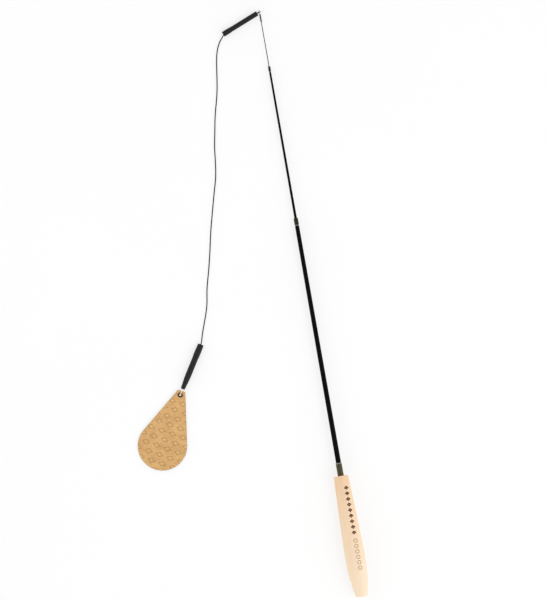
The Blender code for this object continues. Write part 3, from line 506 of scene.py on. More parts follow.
def once(make):
    """The material that a function makes, made the first time that it is asked for."""
    return bpy.data.materials.get(make.__name__) or make()


def metal(name):
    """One of the plated metals, cut on a lathe: fine rings round it catch the light unevenly."""
    group, shade, roughness, line_width = METALS[name]
    rgb = Vector(getattr(settings(group), shade))
    return bpy.data.materials.get(name) or grained(
        name, {"lines": (line_width, 3.0, 0.65, ROUND_ROD), "wear": (2.5, 3.0, 0.5, EVEN)},
        tone=("wear", 0.35, 0.7, rgb * 0.82, rgb * 1.12),
        rough=("lines", roughness - 0.08, roughness + 0.1), relief=("lines", 0.2, 0.01), Metallic=1.0)


def turned_beech():
    """Beech, turned on a lathe, sanded and left bare: pale, with long soft streaks and flecks."""
    sizes = settings("handle")
    light, dark, scorch = [solid(shade) for shade in (sizes.wood_light, sizes.wood_dark, sizes.scorch)]
    handle = Measured("handle")
    collar = Measured("collar")
    look, node, place = surface("turned_beech", Roughness=0.62, Specular_IOR_Level=0.35)
    half = 80 * MM
    centred = node("VectorMath.SUBTRACT", place, BUTT + ROD_WAY * half)
    grain = node("Mapping", Vector=centred, Scale=(1, 0.05, 1))
    # Growth rings about a pith 60 mm to the side, 2.6 mm apart: lines along the wood, rings at its end
    pith = node("Mapping", Vector=grain, Location=(0.052, 0, 0.03))
    rings = node(
        "TexWave", Vector=pith, Scale=0.314 / (2.6 * MM), Distortion=2.6, Detail=3.0, Detail_Scale=0.9,
        wave_type="RINGS", rings_direction="Y")
    # Soft streaks about 4 mm wide and flecks 0.6 mm wide, drawn coarser than real ones to show
    streaks = node("TexNoise", Vector=grain, Scale=1 / (4 * MM), Detail=4.0, Roughness=0.6)
    flecks = node("TexNoise", Vector=grain, Scale=1 / (0.6 * MM), Detail=1.0)
    ring_share = node("Math.MULTIPLY", rings.outputs["Fac"], 0.16)
    streaked = node("Math.MULTIPLY_ADD", streaks, 0.7, ring_share)
    # The blank was paler at the butt than at the upper end
    run = node("SeparateXYZ", centred).outputs["Y"]
    toned = node("Math.MULTIPLY_ADD", run, 0.8 / (2 * half), streaked)
    share = node("MapRange", Value=toned, From_Min=0.1, From_Max=1.05, To_Max=0.85)
    fleck_share = node("MapRange", Value=flecks, From_Min=0.6, From_Max=0.72, To_Max=0.35)
    # Rim round the collar's bore, at the handle's upper end, in scorch brown: partly scorched wood, partly painted
    # shade where the collar enters the wood
    away = node("VectorMath.CROSS_PRODUCT", centred, ROD_WAY)
    rim = node(
        "MapRange", Value=node("VectorMath.LENGTH", away), From_Min=collar.radius + 0.4 * MM,
        From_Max=collar.radius + 1.6 * MM, To_Min=0.85, To_Max=0.0)
    near_top = node(
        "MapRange", Value=run, From_Min=handle.top - half - 2 * MM,
        From_Max=handle.top - half - 0.6 * MM)
    scorch_and_shade_rim = node("Math.MULTIPLY", rim, near_top)
    wood = light
    for factor, shade in ((share, dark), (fleck_share, dark), (scorch_and_shade_rim, scorch)):
        wood = node("Mix", Factor=factor, A=wood, B=shade, data_type="RGBA")
    height = node("Math.SUBTRACT", streaked, flecks)
    relief = node("Bump", Strength=0.25, Distance=0.05 * MM, Height=height)
    return dress(look, Base_Color=wood, Normal=relief)


def burnt_wood():
    """Wood browned by a hot iron: matt, dark brown and a little uneven."""
    return grained(
        "burnt_wood", {"char": (1.2, 3.0, 0.5, EVEN)},
        tone=("char", 0.35, 1.15, settings("handle").scorch, "#6A3D17"),
        Roughness=0.8, Specular_IOR_Level=0.2)


def scribed_wood():
    """Wood lightly marked by a fine hot point: thin brown lines, paler than the burnt marks."""
    return grained(
        "scribed_wood", {"char": (0.9, 3.0, 0.5, EVEN)}, tone=("char", 0.0, 1.0, "#7F5F40", "#A88360"),
        Roughness=0.75, Specular_IOR_Level=0.2)


def glue_seam():
    """Brown band on the collar where it enters the wood, partly hardened glue and partly painted shade where the
    collar meets the wood: dark, with a dull gloss.
    """
    return grained(
        "glue_seam", {"film": (0.8, 2.0, 0.5, EVEN)},
        tone=("film", 0.0, 1.0, settings("rod").seam, "#5E3F22"),
        Roughness=0.45, Specular_IOR_Level=0.25)


def lacquered_fibre():
    """Glass fibre tube under black lacquer: satin black, with faint lines along the rod."""
    lacquer = Vector(settings("rod").lacquer)
    return grained(
        "lacquered_fibre", {"lines": (0.5, 3.0, 0.5, ALONG_ROD), "dust": (1.5, 5.0, 0.5, EVEN)},
        tone=("lines", 0.3, 0.7, lacquer * 0.75, lacquer * 1.35), rough=("dust", 0.34, 0.46),
        relief=("lines", 0.15, 0.02), Specular_IOR_Level=0.05)


def bare_glass_fibre():
    """Solid glass fibre rod, ground and left bare: dark olive grey with pale threads in it."""
    whip = Vector(settings("rod").whip_colour)
    # Bundles of fibre about 0.25 mm wide, coarser than single fibres so that they show
    return grained(
        "bare_glass_fibre", {"threads": (0.25, 2.0, 0.5, (1, 0.01, 1))},
        tone=("threads", 0.35, 0.7, whip * 0.7, whip * 1.5), relief=("threads", 0.3, 0.02),
        Roughness=0.5, Specular_IOR_Level=0.05)


def moulded_nylon():
    """Black nylon from a mould: even and half matt, with a fine spark-eroded grain."""
    return grained(
        "moulded_nylon", {"grain": (0.3, 2.0, 0.5, EVEN)},
        tone=("grain", 0.0, 1.0, "#121212", "#1E1E1E"), rough=("grain", 0.45, 0.6),
        relief=("grain", 0.2, 0.02), Specular_IOR_Level=0.35)


def painted_edge():
    """Edge paint on the cut leather: a thin grey-black film over fibres."""
    return grained(
        "painted_edge", {"fibres": (0.8, 4.0, 0.5, EVEN)},
        tone=("fibres", 0.0, 1.0, "#4A4844", settings("drop").edge_paint), relief=("fibres", 0.4, 0.05),
        Roughness=0.55, Specular_IOR_Level=0.4)


def opal_acrylic():
    """Opal acrylic sheet of a light table, lit from below: white and matt, it swallows shadows."""
    sizes = settings("stage")
    return grained(
        "opal_acrylic", {"cloud": (200, 2.0, 0.5, EVEN)},
        tone=("cloud", 0.0, 1.0, sizes.floor_colour, "#929292"), Roughness=0.9, Specular_IOR_Level=0.1,
        Emission_Color=solid("#FFFFFF"), Emission_Strength=sizes.floor_glow)


def braided_polyester():
    """Braided polyester yarn: matt black, the strands' crests painted lighter as a painted sheen and the valleys
    between them painted darker as painted shade.
    """
    look, node, place = surface("braided_polyester", Roughness=0.82, Specular_IOR_Level=0.06)
    strand = node("Attribute", attribute_name="strand").outputs["Fac"]
    yarn = node("TexNoise", Vector=place, Scale=1 / (0.2 * MM), Detail=2.0)
    # Colour follows how high a strand stands: painted highlight on the crests, painted shade in the valleys; the
    # yarn noise is the yarn's own uneven tone
    height = node("MapRange", Value=strand, From_Min=0.55)
    tone = node("Math.MULTIPLY_ADD", yarn, 0.3, height)
    black = solid(settings("line").cord_colour)
    base = node("Mix", Factor=tone, A=solid("#040405"), B=black, data_type="RGBA")
    relief = node("Bump", Strength=0.3, Distance=0.03 * MM, Height=yarn)
    return dress(look, Base_Color=base, Normal=relief)


def heat_shrunk_tube():
    """Heat-shrunk polyolefin tube: rubbery black, softly mottled, with a faint slanting grain whose grooves are
    painted darker and ridges lighter, a painted shade and highlight.
    """
    look, node, place = surface("heat_shrunk_tube", Specular_IOR_Level=0.22)
    ridge = node("Attribute", attribute_name="ridge").outputs["Fac"]
    mottle = node("TexNoise", Vector=place, Scale=1 / (3.5 * MM), Detail=4.0)
    pores = node("TexNoise", Vector=place, Scale=1 / (0.5 * MM), Detail=2.0)
    rough = node("MapRange", Value=mottle, From_Min=0.3, From_Max=0.7, To_Min=0.42, To_Max=0.6)
    # Darker in the grooves and lighter on the ridges: painted shade and highlight; the mottle is the tube's own
    # uneven tone
    tone = node("Math.MULTIPLY_ADD", ridge, 0.5, mottle)
    shade = node("MapRange", Value=tone, From_Min=0.4, From_Max=1.1)
    black = solid(settings("line").sleeve_colour)
    base = node("Mix", Factor=shade, A=solid("#09090A"), B=black, data_type="RGBA")
    relief = node("Bump", Strength=0.25, Distance=0.03 * MM, Height=pores)
    return dress(look, Base_Color=base, Roughness=rough, Normal=relief)


def tanned_leather():
    """Vegetable-tanned leather, pressed: warm tan, mottled, with pores, darkened lines and a painted highlight in
    each lozenge's middle.
    """
    sizes = settings("drop")
    dark = solid(sizes.leather_dark)
    look, node, place = surface("tanned_leather", Specular_IOR_Level=0.35, Sheen_Weight=0.04)
    cloud = node("TexNoise", Vector=place, Scale=1 / (14 * MM), Detail=5.0, Roughness=0.6)
    pores = node("TexVoronoi", Vector=place, Scale=1 / (0.7 * MM))
    speck = node("TexNoise", Vector=place, Scale=1 / (1.8 * MM), Detail=4.0)
    # How much the clouds, the specks and the pores darken: their range, and the shares at its ends
    darker = 0.0
    for value, low, high, least, most in (
            (cloud, 0.3, 0.7, 0.0, 0.35), (speck, 0.35, 0.68, -0.05, 0.26),
            (pores.outputs["Distance"], 0.12, 0.4, 0.3, 0.0)):
        share = node("MapRange", Value=value, From_Min=low, From_Max=high, To_Min=least, To_Max=most)
        darker = node("Math.ADD", share, darker)
    tan = node("Mix", Factor=darker, A=solid(sizes.leather), B=dark, data_type="RGBA")
    light = solid(sizes.leather_light)
    # The lozenges' middles are painted lighter as a painted highlight; the pressed lines are darkened leather
    for pattern, strength, shade in (("middle", 0.45, light), ("pressed", 0.95, dark)):
        pattern_here = node("Attribute", attribute_name=pattern).outputs["Fac"]
        share = node("Math.MULTIPLY", pattern_here, strength)
        tan = node("Mix", Factor=share, A=tan, B=shade, data_type="RGBA")
    rough = node("MapRange", Value=speck, From_Min=0.3, From_Max=0.7, To_Min=0.5, To_Max=0.68)
    relief = node("Bump", Strength=0.35, Distance=0.06 * MM, Height=pores.outputs["Distance"])
    return dress(look, Base_Color=tan, Roughness=rough, Normal=relief)


def geometry_tree(name, **inputs):
    """Geometry Nodes tree with named inputs, its node adder and the sockets of what it is given."""
    tree = bpy.data.node_groups.new(name, "GeometryNodeTree")
    for label, kind in {"Geometry": "Geometry", **inputs, "Material": "Material"}.items():
        tree.interface.new_socket(name=label, in_out="INPUT", socket_type="NodeSocket" + kind)
    tree.interface.new_socket(name="Geometry", in_out="OUTPUT", socket_type="NodeSocketGeometry")
    node = partial(add, tree)
    return tree, node, node("GroupInput").outputs


def completed(tree, given, geometry):
    """The tree, ended in Realize Instances and Set Material."""
    real = add(tree, "RealizeInstances", geometry)
    finished = add(tree, "SetMaterial", Geometry=real, Material=given["Material"])
    add(tree, "GroupOutput", finished)
    return tree


def grown(name, base, tree, **values):
    """Plain mesh object that a tree makes from a base mesh."""
    carrier = placed(name + "_base", base)
    modifier = carrier.modifiers.new("nodes", "NODES")
    modifier.node_group = tree
    for item in tree.interface.items_tree:
        if item.in_out == "INPUT" and item.name in values:
            modifier[item.identifier] = values[item.name]
    mesh = applied(carrier)
    mesh.name = name
    return placed(name, mesh)


def braid_tree():
    """Tree that sweeps a braided cord along an edge path and stores how high each strand stands."""
    tree, node, given = geometry_tree(
        "braided_cord", Radius="Float", Sides="Int", Step="Float", Strands="Int", Pitch="Float",
        Relief="Float")
    even = node(
        "ResampleCurve", Curve=node("MeshToCurve", given["Geometry"]), Length=given["Step"],
        mode="LENGTH")
    circle = node("CurvePrimitiveCircle", Resolution=given["Sides"], Radius=given["Radius"])
    marked = {}
    for label, curve, measure in (("Run", even, "Length"), ("Turn", circle, "Factor")):
        marked[label] = node("CaptureAttribute")
        marked[label].capture_items.new("FLOAT", label)
        value = node("SplineParameter").outputs[measure]
        feed(tree, marked[label], Geometry=curve, **{label: value})
    cord = node("CurveToMesh", Curve=marked["Run"], Profile_Curve=marked["Turn"], Fill_Caps=True)
    # Strands of either way stand highest where their half waves do
    laps = node("Math.DIVIDE", marked["Run"].outputs["Run"], given["Pitch"])
    waves = []
    for way in ("ADD", "SUBTRACT"):
        wave = node("Math", marked["Turn"].outputs["Turn"], laps, operation=way)
        for factor in (pi, given["Strands"]):
            wave = node("Math.MULTIPLY", wave, factor)
        waves.append(node("Math.ABSOLUTE", node("Math.SINE", wave)))
    strand = node("Math.MAXIMUM", *waves)
    sunk = node("Math.SUBTRACT", strand, 1.0)
    depth = node("Math.MULTIPLY", sunk, given["Relief"])
    offset = node("VectorMath.SCALE", node("InputNormal"), Scale=depth)
    # From this the material paints highlight on the strands' crests and shade in their valleys
    stored = node("StoreNamedAttribute", Geometry=cord, Name="strand", Value=strand)
    shaped = node("SetPosition", Geometry=stored, Offset=offset)
    return completed(tree, given, node("SetShadeSmooth", shaped))


def marks_tree():
    """Tree that lays a row of flat motifs on the upper side of a body, as thin skins."""
    tree, node, given = geometry_tree(
        "row_of_marks", Body="Object", Motif="Object", Count="Int", First="Vector", Step="Vector",
        Relief="Float")
    body, motif = [
        node("ObjectInfo", Object=given[label]).outputs["Geometry"] for label in ("Body", "Motif")]
    row = node("MeshLine", Count=given["Count"], Start_Location=given["First"], Offset=given["Step"])
    flat = node("RealizeInstances", node("InstanceOnPoints", Points=row, Instance=motif))
    hit = node("Raycast", Target_Geometry=body, Ray_Direction=-UP, Ray_Length=1.0)
    down = node("VectorMath.SCALE", hit.outputs["Hit Normal"], Scale=given["Relief"])
    sunk = node("VectorMath.SUBTRACT", hit.outputs["Hit Position"], down)
    laid = node("SetPosition", Geometry=flat, Position=sunk)
    twice = node("Math.MULTIPLY", given["Relief"], 2.0)
    upper = node(
        "ExtrudeMesh", Mesh=laid, Offset=node("InputNormal"), Offset_Scale=twice, Individual=False)
    both = node("JoinGeometry", upper)
    tree.links.new(node("FlipFaces", laid).outputs["Mesh"], both.inputs["Geometry"])
    return completed(tree, given, node("MergeByDistance", Geometry=both, Distance=0.002 * MM))


def pressed_tree():
    """Tree that presses rows of lozenges into a flat face and stores where it did."""
    tree, node, given = geometry_tree(
        "pressed_lozenges", Hole="Vector", Yaw="Float", Across="Float", Row="Float", Long="Float",
        Wide="Float", Line="Float", Depth="Float")
    from_hole = node("VectorMath.SUBTRACT", node("InputPosition"), given["Hole"])
    back = node("Math.MULTIPLY", given["Yaw"], -1.0)
    straight = node("VectorRotate", Vector=from_hole, Angle=back, rotation_type="Z_AXIS")
    along, down = node("SeparateXYZ", straight).outputs[:2]
    # Distances to the middle of the nearest lozenge, each row shifted by half a step
    half_row, half_step = [node("Math.MULTIPLY", given[label], 0.5) for label in ("Row", "Across")]
    row = node("Math.ROUND", node("Math.DIVIDE", down, given["Row"]))
    shifted = node("Math.MULTIPLY_ADD", row, half_step, along)
    lozenge = node("Math.ADD", *[
        node("Math.DIVIDE", node("Math.PINGPONG", way, half), given[reach])
        for way, half, reach in ((shifted, half_step, "Long"), (down, half_row, "Wide"))])
    off_line = node("Math.ABSOLUTE", node("Math.SUBTRACT", lozenge, 1.0))
    distance = node("Math.MULTIPLY", off_line, given["Wide"])
    facing = node("SeparateXYZ", node("InputNormal")).outputs["Z"]
    face_up = node("Math.GREATER_THAN", facing, 0.9)
    geometry = given["Geometry"]
    # middle: where the material paints a highlight; pressed: the pressed line
    for label, value, low, high in (
            ("middle", lozenge, 0.25, 0.6), ("pressed", distance, 0.0, given["Line"])):
        near = node(
            "MapRange", Value=value, From_Min=low, From_Max=high, To_Min=1.0, To_Max=0.0,
            interpolation_type="SMOOTHSTEP")
        here = node("Math.MULTIPLY", near, face_up)
        geometry = node("StoreNamedAttribute", Geometry=geometry, Name=label, Value=here)
    depth = node("Math.MULTIPLY", here, given["Depth"])
    offset = node("VectorMath.SCALE", -UP, Scale=depth)
    return completed(tree, given, node("SetPosition", Geometry=geometry, Offset=offset))


def clad(mesh, *materials):
    """Give a mesh these materials instead of its own."""
    mesh.materials.clear()
    for material in materials:
        mesh.materials.append(material)


def finish_piece(piece, material, body, slot, *nodes):
    """Give a piece its material and its CAD body, and hide the nodes that it stands for; slot is not used."""
    clad(piece.data, material)
    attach(piece, body)
    if nodes:
        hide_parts(*nodes)


def turned_piece(name, profile, material, body, slot, node, **form):
    """Turned body, finished as a piece in the place of a CAD node."""
    piece = turned(name, profile, **form)
    finish_piece(piece, material, body, slot, node)
    return piece


def keep_nodes(material, *nodes):
    """Give CAD nodes, whose shape is right, a better material."""
    for node in nodes:
        clad(frame["nodes"][node].data, material)


class Sleeve:
    """A soft sleeve's sizes along its own direction, given in millimetres."""

    def __init__(self, foot, sleeve_length, bore, stations):
        self.foot = foot * MM
        self.length = sleeve_length * MM
        self.end = self.foot + self.length
        self.bore = bore * MM
        self.stations = [(along * MM, radius * MM) for along, radius in stations]
        self.axis = self.radius_at(self.length / 2) + FLOOR_GAP

    def radius_at(self, along):
        """Radius at a distance along the sleeve, eased between its stations."""
        for (low, low_radius), (high, high_radius) in zip(self.stations, self.stations[1:]):
            if along <= high:
                share = (along - low) / (high - low)
                share = share * share * (3 - 2 * share)
                return low_radius + (high_radius - low_radius) * share
        return self.stations[-1][1]


UPPER_SLEEVE = Sleeve(3.6, 53.9, 2.35, ((0, 3.35), (39.9, 3.35), (46.9, 3.7), (51.4, 3.7), (53.9, 3.6)))
LOWER_SLEEVE = Sleeve(8.6, 64.9, 2.3, (
    (0, 2.8), (6.5, 3.25), (10.5, 3.6), (15.5, 3.92), (21, 4.07), (44.9, 4.07), (48.9, 4.35),
    (54.9, 4.35), (61.9, 4.1), (64.9, 3.9)))


def make_sleeve(name, sleeve, place, node):
    """Soft tube on the floor with a slanting grain in its outside, open at both ends."""
    edge = 0.35 * MM
    groove = 0.05 * MM
    grooves = 9
    slant = 1.1 * MM
    inner = sleeve.length - 2 * edge
    count = round(inner / (0.45 * MM))
    curl = [edge - edge * cos(radians(a)) for a in range(0, 90, 15)]
    outside = curl + [edge + inner * i / count for i in range(count + 1)]
    outside += [sleeve.length - along for along in reversed(curl)]
    bore_count = 6
    inside = [sleeve.length * (1 - i / bore_count) for i in range(bore_count + 1)]
    rings = []
    ridges = []
    for i, along in enumerate(outside + inside):
        bore = sleeve.bore if i >= len(outside) else None
        full = sleeve.radius_at(along)
        near_end = min(along, sleeve.length - along, edge)
        round_off = edge - sqrt(max(0.0, edge * edge - (edge - near_end) ** 2))
        ring = []
        for a in turns(SLEEVE_SIDES):
            ridge = 0.5 if bore else 0.5 + 0.5 * sin(grooves * a + along / slant)
            radius = bore or full - round_off - groove * (1 - ridge)
            height = full + FLOOR_GAP + radius * sin(a)
            ring.append(place @ Vector((radius * cos(a), height, sleeve.foot + along)))
            ridges.append(ridge)
        rings.append(ring)
    piece = skin(name, rings, joined=True)
    # From this attribute the material paints the grooves darker and the ridges lighter: painted shade and
    # highlight
    piece.data.attributes.new("ridge", "FLOAT", "POINT").data.foreach_set("value", ridges)
    finish_piece(piece, once(heat_shrunk_tube), "line_body", "sleeve_rubber", node)


def cord_route():
    """Points of the whole cord, from its end in the upper sleeve to its end in the lower one."""
    sizes = settings("line")
    ground = sizes.cord_radius + FLOOR_GAP
    exit_height = 3.0 * MM
    upper = line_frame(EYE, sizes.upper_yaw)
    end = UPPER_SLEEVE.end
    start = end - sizes.end_held
    knots = [upper @ Vector(knot) for knot in (
        (0, EYE.z, start), (0, EYE.z, start + 8 * MM),
        (0.3 * MM, exit_height + 0.4 * MM, end - 6 * MM), (1.2 * MM, exit_height, end),
        (3.4 * MM, 2.1 * MM, end + 4.2 * MM), (5.3 * MM, 1.3 * MM, end + 7.7 * MM))]
    leaves = knots[3]
    knots += [Vector((EYE.x + x * MM, EYE.y + y * MM, ground)) for x, y in CORD_ROUTE_MM]
    lower = line_frame(HOLE, sizes.lower_yaw)
    end = LOWER_SLEEVE.end
    start = end - sizes.end_held
    axis = LOWER_SLEEVE.axis
    knots += [lower @ Vector(knot) for knot in (
        (0, exit_height, end), (0, axis - 0.2 * MM, end - 8 * MM), (0, axis, start + 6 * MM),
        (0, axis, start))]
    points = smooth_curve(knots, 3 * MM)
    for point in points:
        point.z = max(point.z, ground)
    return points, leaves


def braided(name, points, node):
    """Braided cord along points, in the place of a CAD node."""
    sizes = settings("line")
    path = bpy.data.meshes.new("path")
    path.from_pydata(points, [(i, i + 1) for i in range(len(points) - 1)], [])
    yarn = once(braided_polyester)
    cord = grown(
        name, path, bpy.data.node_groups.get("braided_cord") or braid_tree(), Radius=sizes.cord_radius,
        Sides=CORD_SIDES, Step=BRAID_STEP, Strands=sizes.strands, Pitch=sizes.braid_pitch,
        Relief=sizes.braid_relief, Material=yarn)
    finish_piece(cord, yarn, "line_body", "cord_black", node)
    return cord


def camera_above(context, sizes):
    """Camera straight above the wand, turned a little against the rod."""
    data = bpy.data.cameras.new("camera")
    data.sensor_width = SENSOR_WIDTH
    data.lens = SENSOR_WIDTH * sizes.camera_height / sizes.field_height
    data.clip_end = 5 * sizes.camera_height
    camera = placed("camera", data)
    camera.location = (*VIEW_CENTRE, sizes.camera_height)
    camera.rotation_euler = (0, 0, sizes.camera_roll)
    context.scene.camera = camera


def light_table():
    """Wide floor of opal acrylic."""
    form = bmesh.new()
    bmesh.ops.create_grid(form, x_segments=8, y_segments=8, size=FLOOR_HALF)
    mesh = bpy.data.meshes.new("floor")
    form.to_mesh(mesh)
    form.free()
    clad(mesh, opal_acrylic())
    placed("floor", mesh)


def studio_sky(context, sizes):
    """Light from all round, stronger near the horizon than overhead."""
    world = bpy.data.worlds.new("studio")
    world.use_nodes = True
    tree = world.node_tree
    height = add(tree, "SeparateXYZ", add(tree, "TexCoord").outputs["Generated"])
    strength = add(
        tree, "MapRange", Value=height.outputs["Z"], From_Min=0.2, From_Max=0.85, To_Min=1.5,
        To_Max=0.5, interpolation_type="SMOOTHSTEP")
    feed(tree, tree.nodes["Background"], Color=solid(sizes.sky_colour), Strength=strength)
    context.scene.world = world


class WAND_OT_stage(bpy.types.Operator):
    """Add the floor, the soft light and the camera"""

    bl_idname = "wand.stage"
    bl_label = "Stage"

    def execute(self, context):
        sizes = settings("stage")
        camera_above(context, sizes)
        light_table()
        studio_sky(context, sizes)
        for name, place, side, power in SOFTBOXES:
            data = bpy.data.lights.new(name, "AREA")
            data.shape = "SQUARE"
            data.size = side
            data.energy = getattr(sizes, power)
            light = placed(name, data)
            light.location = place
            light.visible_camera = False
            light.rotation_euler = (-Vector(place)).to_track_quat("-Z", "Y").to_euler()
        context.scene.view_settings.view_transform = "Standard"
        return {"FINISHED"}


class WAND_OT_cord(bpy.types.Operator):
    """Add the free cord, braided, from sleeve to sleeve"""

    bl_idname = "wand.cord"
    bl_label = "Cord"

    def execute(self, context):
        points, leaves = cord_route()
        cord = braided("braided_cord", points, "cord")
        2 * settings("line").cord_radius
        return {"FINISHED"}


def handle_profile(sizes):
    """Half section from the bottom of the bore over the outside to the butt's middle."""
    handle, collar, tube, plug = [
        Measured(node) for node in ("handle", "collar", "outer_tube", "tube_end_plug")]
    top = handle.top
    top_radius = handle.radius_at(top, reach=2 * MM)
    butt_radius = handle.radius_at(0.0, reach=MM)
    collar_bore = collar.radius + sizes.fit
    tube_bore = tube.radius + sizes.fit
    ledge = collar.foot - 2 * sizes.fit
    chamfer = 0.3 * MM
    profile = [
        (tube_bore, plug.foot - 2 * sizes.fit), (tube_bore, ledge), (collar_bore, ledge),
        (collar_bore, top - chamfer), (collar_bore + chamfer, top)]
    shoulder = top - sizes.top_edge
    profile += arc((top_radius - sizes.top_edge, shoulder), sizes.top_edge, 90, 0)
    slope = (handle.radius - top_radius) / (top - sizes.belly_at - sizes.shoulder / 2)
    count = 90
    for i in range(1, count):
        height = shoulder - (shoulder - sizes.butt_edge) * i / count
        radius = handle.radius - fall_from_belly(
            sizes, height - sizes.belly_at, handle.radius - butt_radius, slope)
        profile.append((radius, height))
    return profile + arc((butt_radius - sizes.butt_edge, sizes.butt_edge), sizes.butt_edge, 0, -90)


def fall_from_belly(sizes, run, butt_fall, slope):
    """How much thinner than its belly: two parabolas that meet there, then a straight taper."""
    if run < 0:
        return butt_fall * (run / sizes.belly_at) ** 2
    if run < sizes.shoulder:
        return slope * run * run / (2 * sizes.shoulder)
    return slope * (run - sizes.shoulder / 2)


def burnt_marks(sizes, handle):
    """Row of burnt lozenges and dots, and a row of fine scribed rings nearer the butt."""
    tree = marks_tree()
    wide = sizes.mark_size / 2
    above = 0.1
    lozenge = ring_motif(4, wide, wide * 0.86, sizes.mark_line)
    ring = ring_motif(28, wide * 0.84, wide * 0.84, sizes.scribed_line)
    # Name, motif, how many, millimetres from the butt to the first, spacing, material
    for name, motif, count, first, pitch, material in (
            ("burnt_lozenges", lozenge, 9, 87.0, sizes.mark_pitch, once(burnt_wood)),
            ("burnt_dots", dot_motif(wide * 0.28), 9, 87.0, sizes.mark_pitch, once(burnt_wood)),
            ("scribed_rings", ring, 6, 39.0, sizes.scribed_pitch, scribed_wood())):
        piece = grown(
            name, bpy.data.meshes.new("empty"), tree, Body=handle, Motif=motif, Count=count,
            First=(BUTT.x + sizes.mark_offset, BUTT.y + first * MM, above), Step=(0, pitch, 0),
            Relief=sizes.mark_proud, Material=material)
        bpy.data.objects.remove(motif)
        finish_piece(piece, material, "handle_body", "wood")


class WAND_OT_handle(bpy.types.Operator):
    """Add the turned handle and its burnt marks"""

    bl_idname = "wand.handle"
    bl_label = "Handle"

    def execute(self, context):
        sizes = settings("handle")
        piece = turned_piece(
            "turned_handle", handle_profile(sizes), turned_beech(), "handle_body", "wood", "handle",
            bored=False, sides=HANDLE_SIDES)
        burnt_marks(sizes, piece)
        return {"FINISHED"}


def dot_motif(radius):
    """Flat disc about the origin, in small faces, so that it can follow a curved surface."""
    form = bmesh.new()
    bmesh.ops.create_circle(form, cap_ends=True, cap_tris=True, segments=20, radius=radius)
    bmesh.ops.subdivide_edges(form, edges=form.edges, cuts=2, use_grid_fill=True)
    return flat_object(form)


def ring_motif(corners, half_width, half_length, line):
    """Flat outline of a figure with that many corners, each side cut in six."""
    tips = [Vector((half_width * cos(a), half_length * sin(a), 0)) for a in turns(corners)]
    tips.append(tips[0])
    outer = [a.lerp(b, i / 6) for a, b in zip(tips, tips[1:]) for i in range(6)]
    inset = 1 - line / ((tips[0] + tips[1]) / 2).dot((tips[1] - tips[0]).cross(UP).normalized())
    form = bmesh.new()
    shares = (1, (1 + inset) / 2, inset)
    rings = [[form.verts.new(point * share) for point in outer] for share in shares]
    for near, far in zip(rings, rings[1:]):
        for j, vertex in enumerate(near):
            k = (j + 1) % len(near)
            form.faces.new((vertex, near[k], far[k], far[j]))
    return flat_object(form)


def flat_object(form):
    """Object for a flat motif, which faces up."""
    mesh = bpy.data.meshes.new("motif")
    form.to_mesh(mesh)
    form.free()
    return placed("motif", mesh)


def ring_section(piece, edge, cut=()):
    """Half section of a ring or sleeve with rounded outer edges; cut adds points to its outside."""
    section = arc((piece.radius - edge, piece.top - edge), edge, 90, 0)
    section += [(piece.radius, height) for height in cut]
    section += arc((piece.radius - edge, piece.foot + edge), edge, 0, -90)
    return section + [(piece.bore, piece.foot), (piece.bore, piece.top)]


class WAND_OT_collar(bpy.types.Operator):
    """Add the collar and the trim rings"""

    bl_idname = "wand.collar"
    bl_label = "Collar and rings"

    def execute(self, context):
        sizes = settings("rod")
        # The collar below 3 mm above the wood gets the glue and painted shade material
        glue_and_shade_top = Measured("handle").top + 3 * MM
        section = ring_section(Measured("collar"), sizes.edge, cut=(glue_and_shade_top,))
        piece = turned_piece(
            "turned_collar", section, metal("bronzed_brass"), "handle_body", "collar_metal", "collar")
        piece.data.materials.append(glue_seam())
        to_rod = ROD.inverted()
        for polygon in piece.data.polygons:
            polygon.material_index = int((to_rod @ polygon.center).z < glue_and_shade_top)
        for place, body in (("collar", "handle_body"), ("mouth", "handle_body"), ("tip", "mid_body")):
            node = place + "_trim_ring"
            section = ring_section(Measured(node), sizes.fine_edge)
            turned_piece(
                place + "_bright_ring", section, metal("dulled_nickel"), body, "trim_metal", node)
        return {"FINISHED"}


def lacquered_tube(node, body, wall, straight):
    """Tube with a rounded mouth; straight is the part at its foot that doesn't taper."""
    tube = Measured(node)
    foot_radius = tube.radius_at(tube.foot)
    edge = wall / 2
    profile = arc((tube.radius_at(tube.top) - edge, tube.top - edge), edge, 180, 0, steps=8)
    rise = [(foot_radius, tube.foot + straight), (foot_radius, tube.foot)]
    bore = [(foot_radius - wall, tube.foot), (foot_radius - wall, tube.foot + straight)]
    profile += rise + bore if straight else rise[1:] + bore[:1]
    turned_piece("lacquered_" + node, profile, once(lacquered_fibre), body, "rod_black", node)


def turned_ferrule(node, body, edge):
    """Head with a rounded rim on a thinner spigot, bored through."""
    ferrule = Measured(node)
    head, bore, foot, top = ferrule.radius, ferrule.bore, ferrule.foot, ferrule.top
    spigot = ferrule.radius_at(foot)
    chamfer = 0.1 * MM
    step = min(height for height, radius in ferrule.rings if radius > spigot + chamfer)
    profile = arc((head - edge, top - edge), edge, 90, 0)
    profile += [
        (head, step + chamfer), (head - chamfer, step), (spigot, step), (spigot, foot), (bore, foot),
        (bore, top - chamfer), (bore + chamfer, top)]
    turned_piece("turned_" + node, profile, metal("blackened_brass"), body, "ferrule_dark", node)


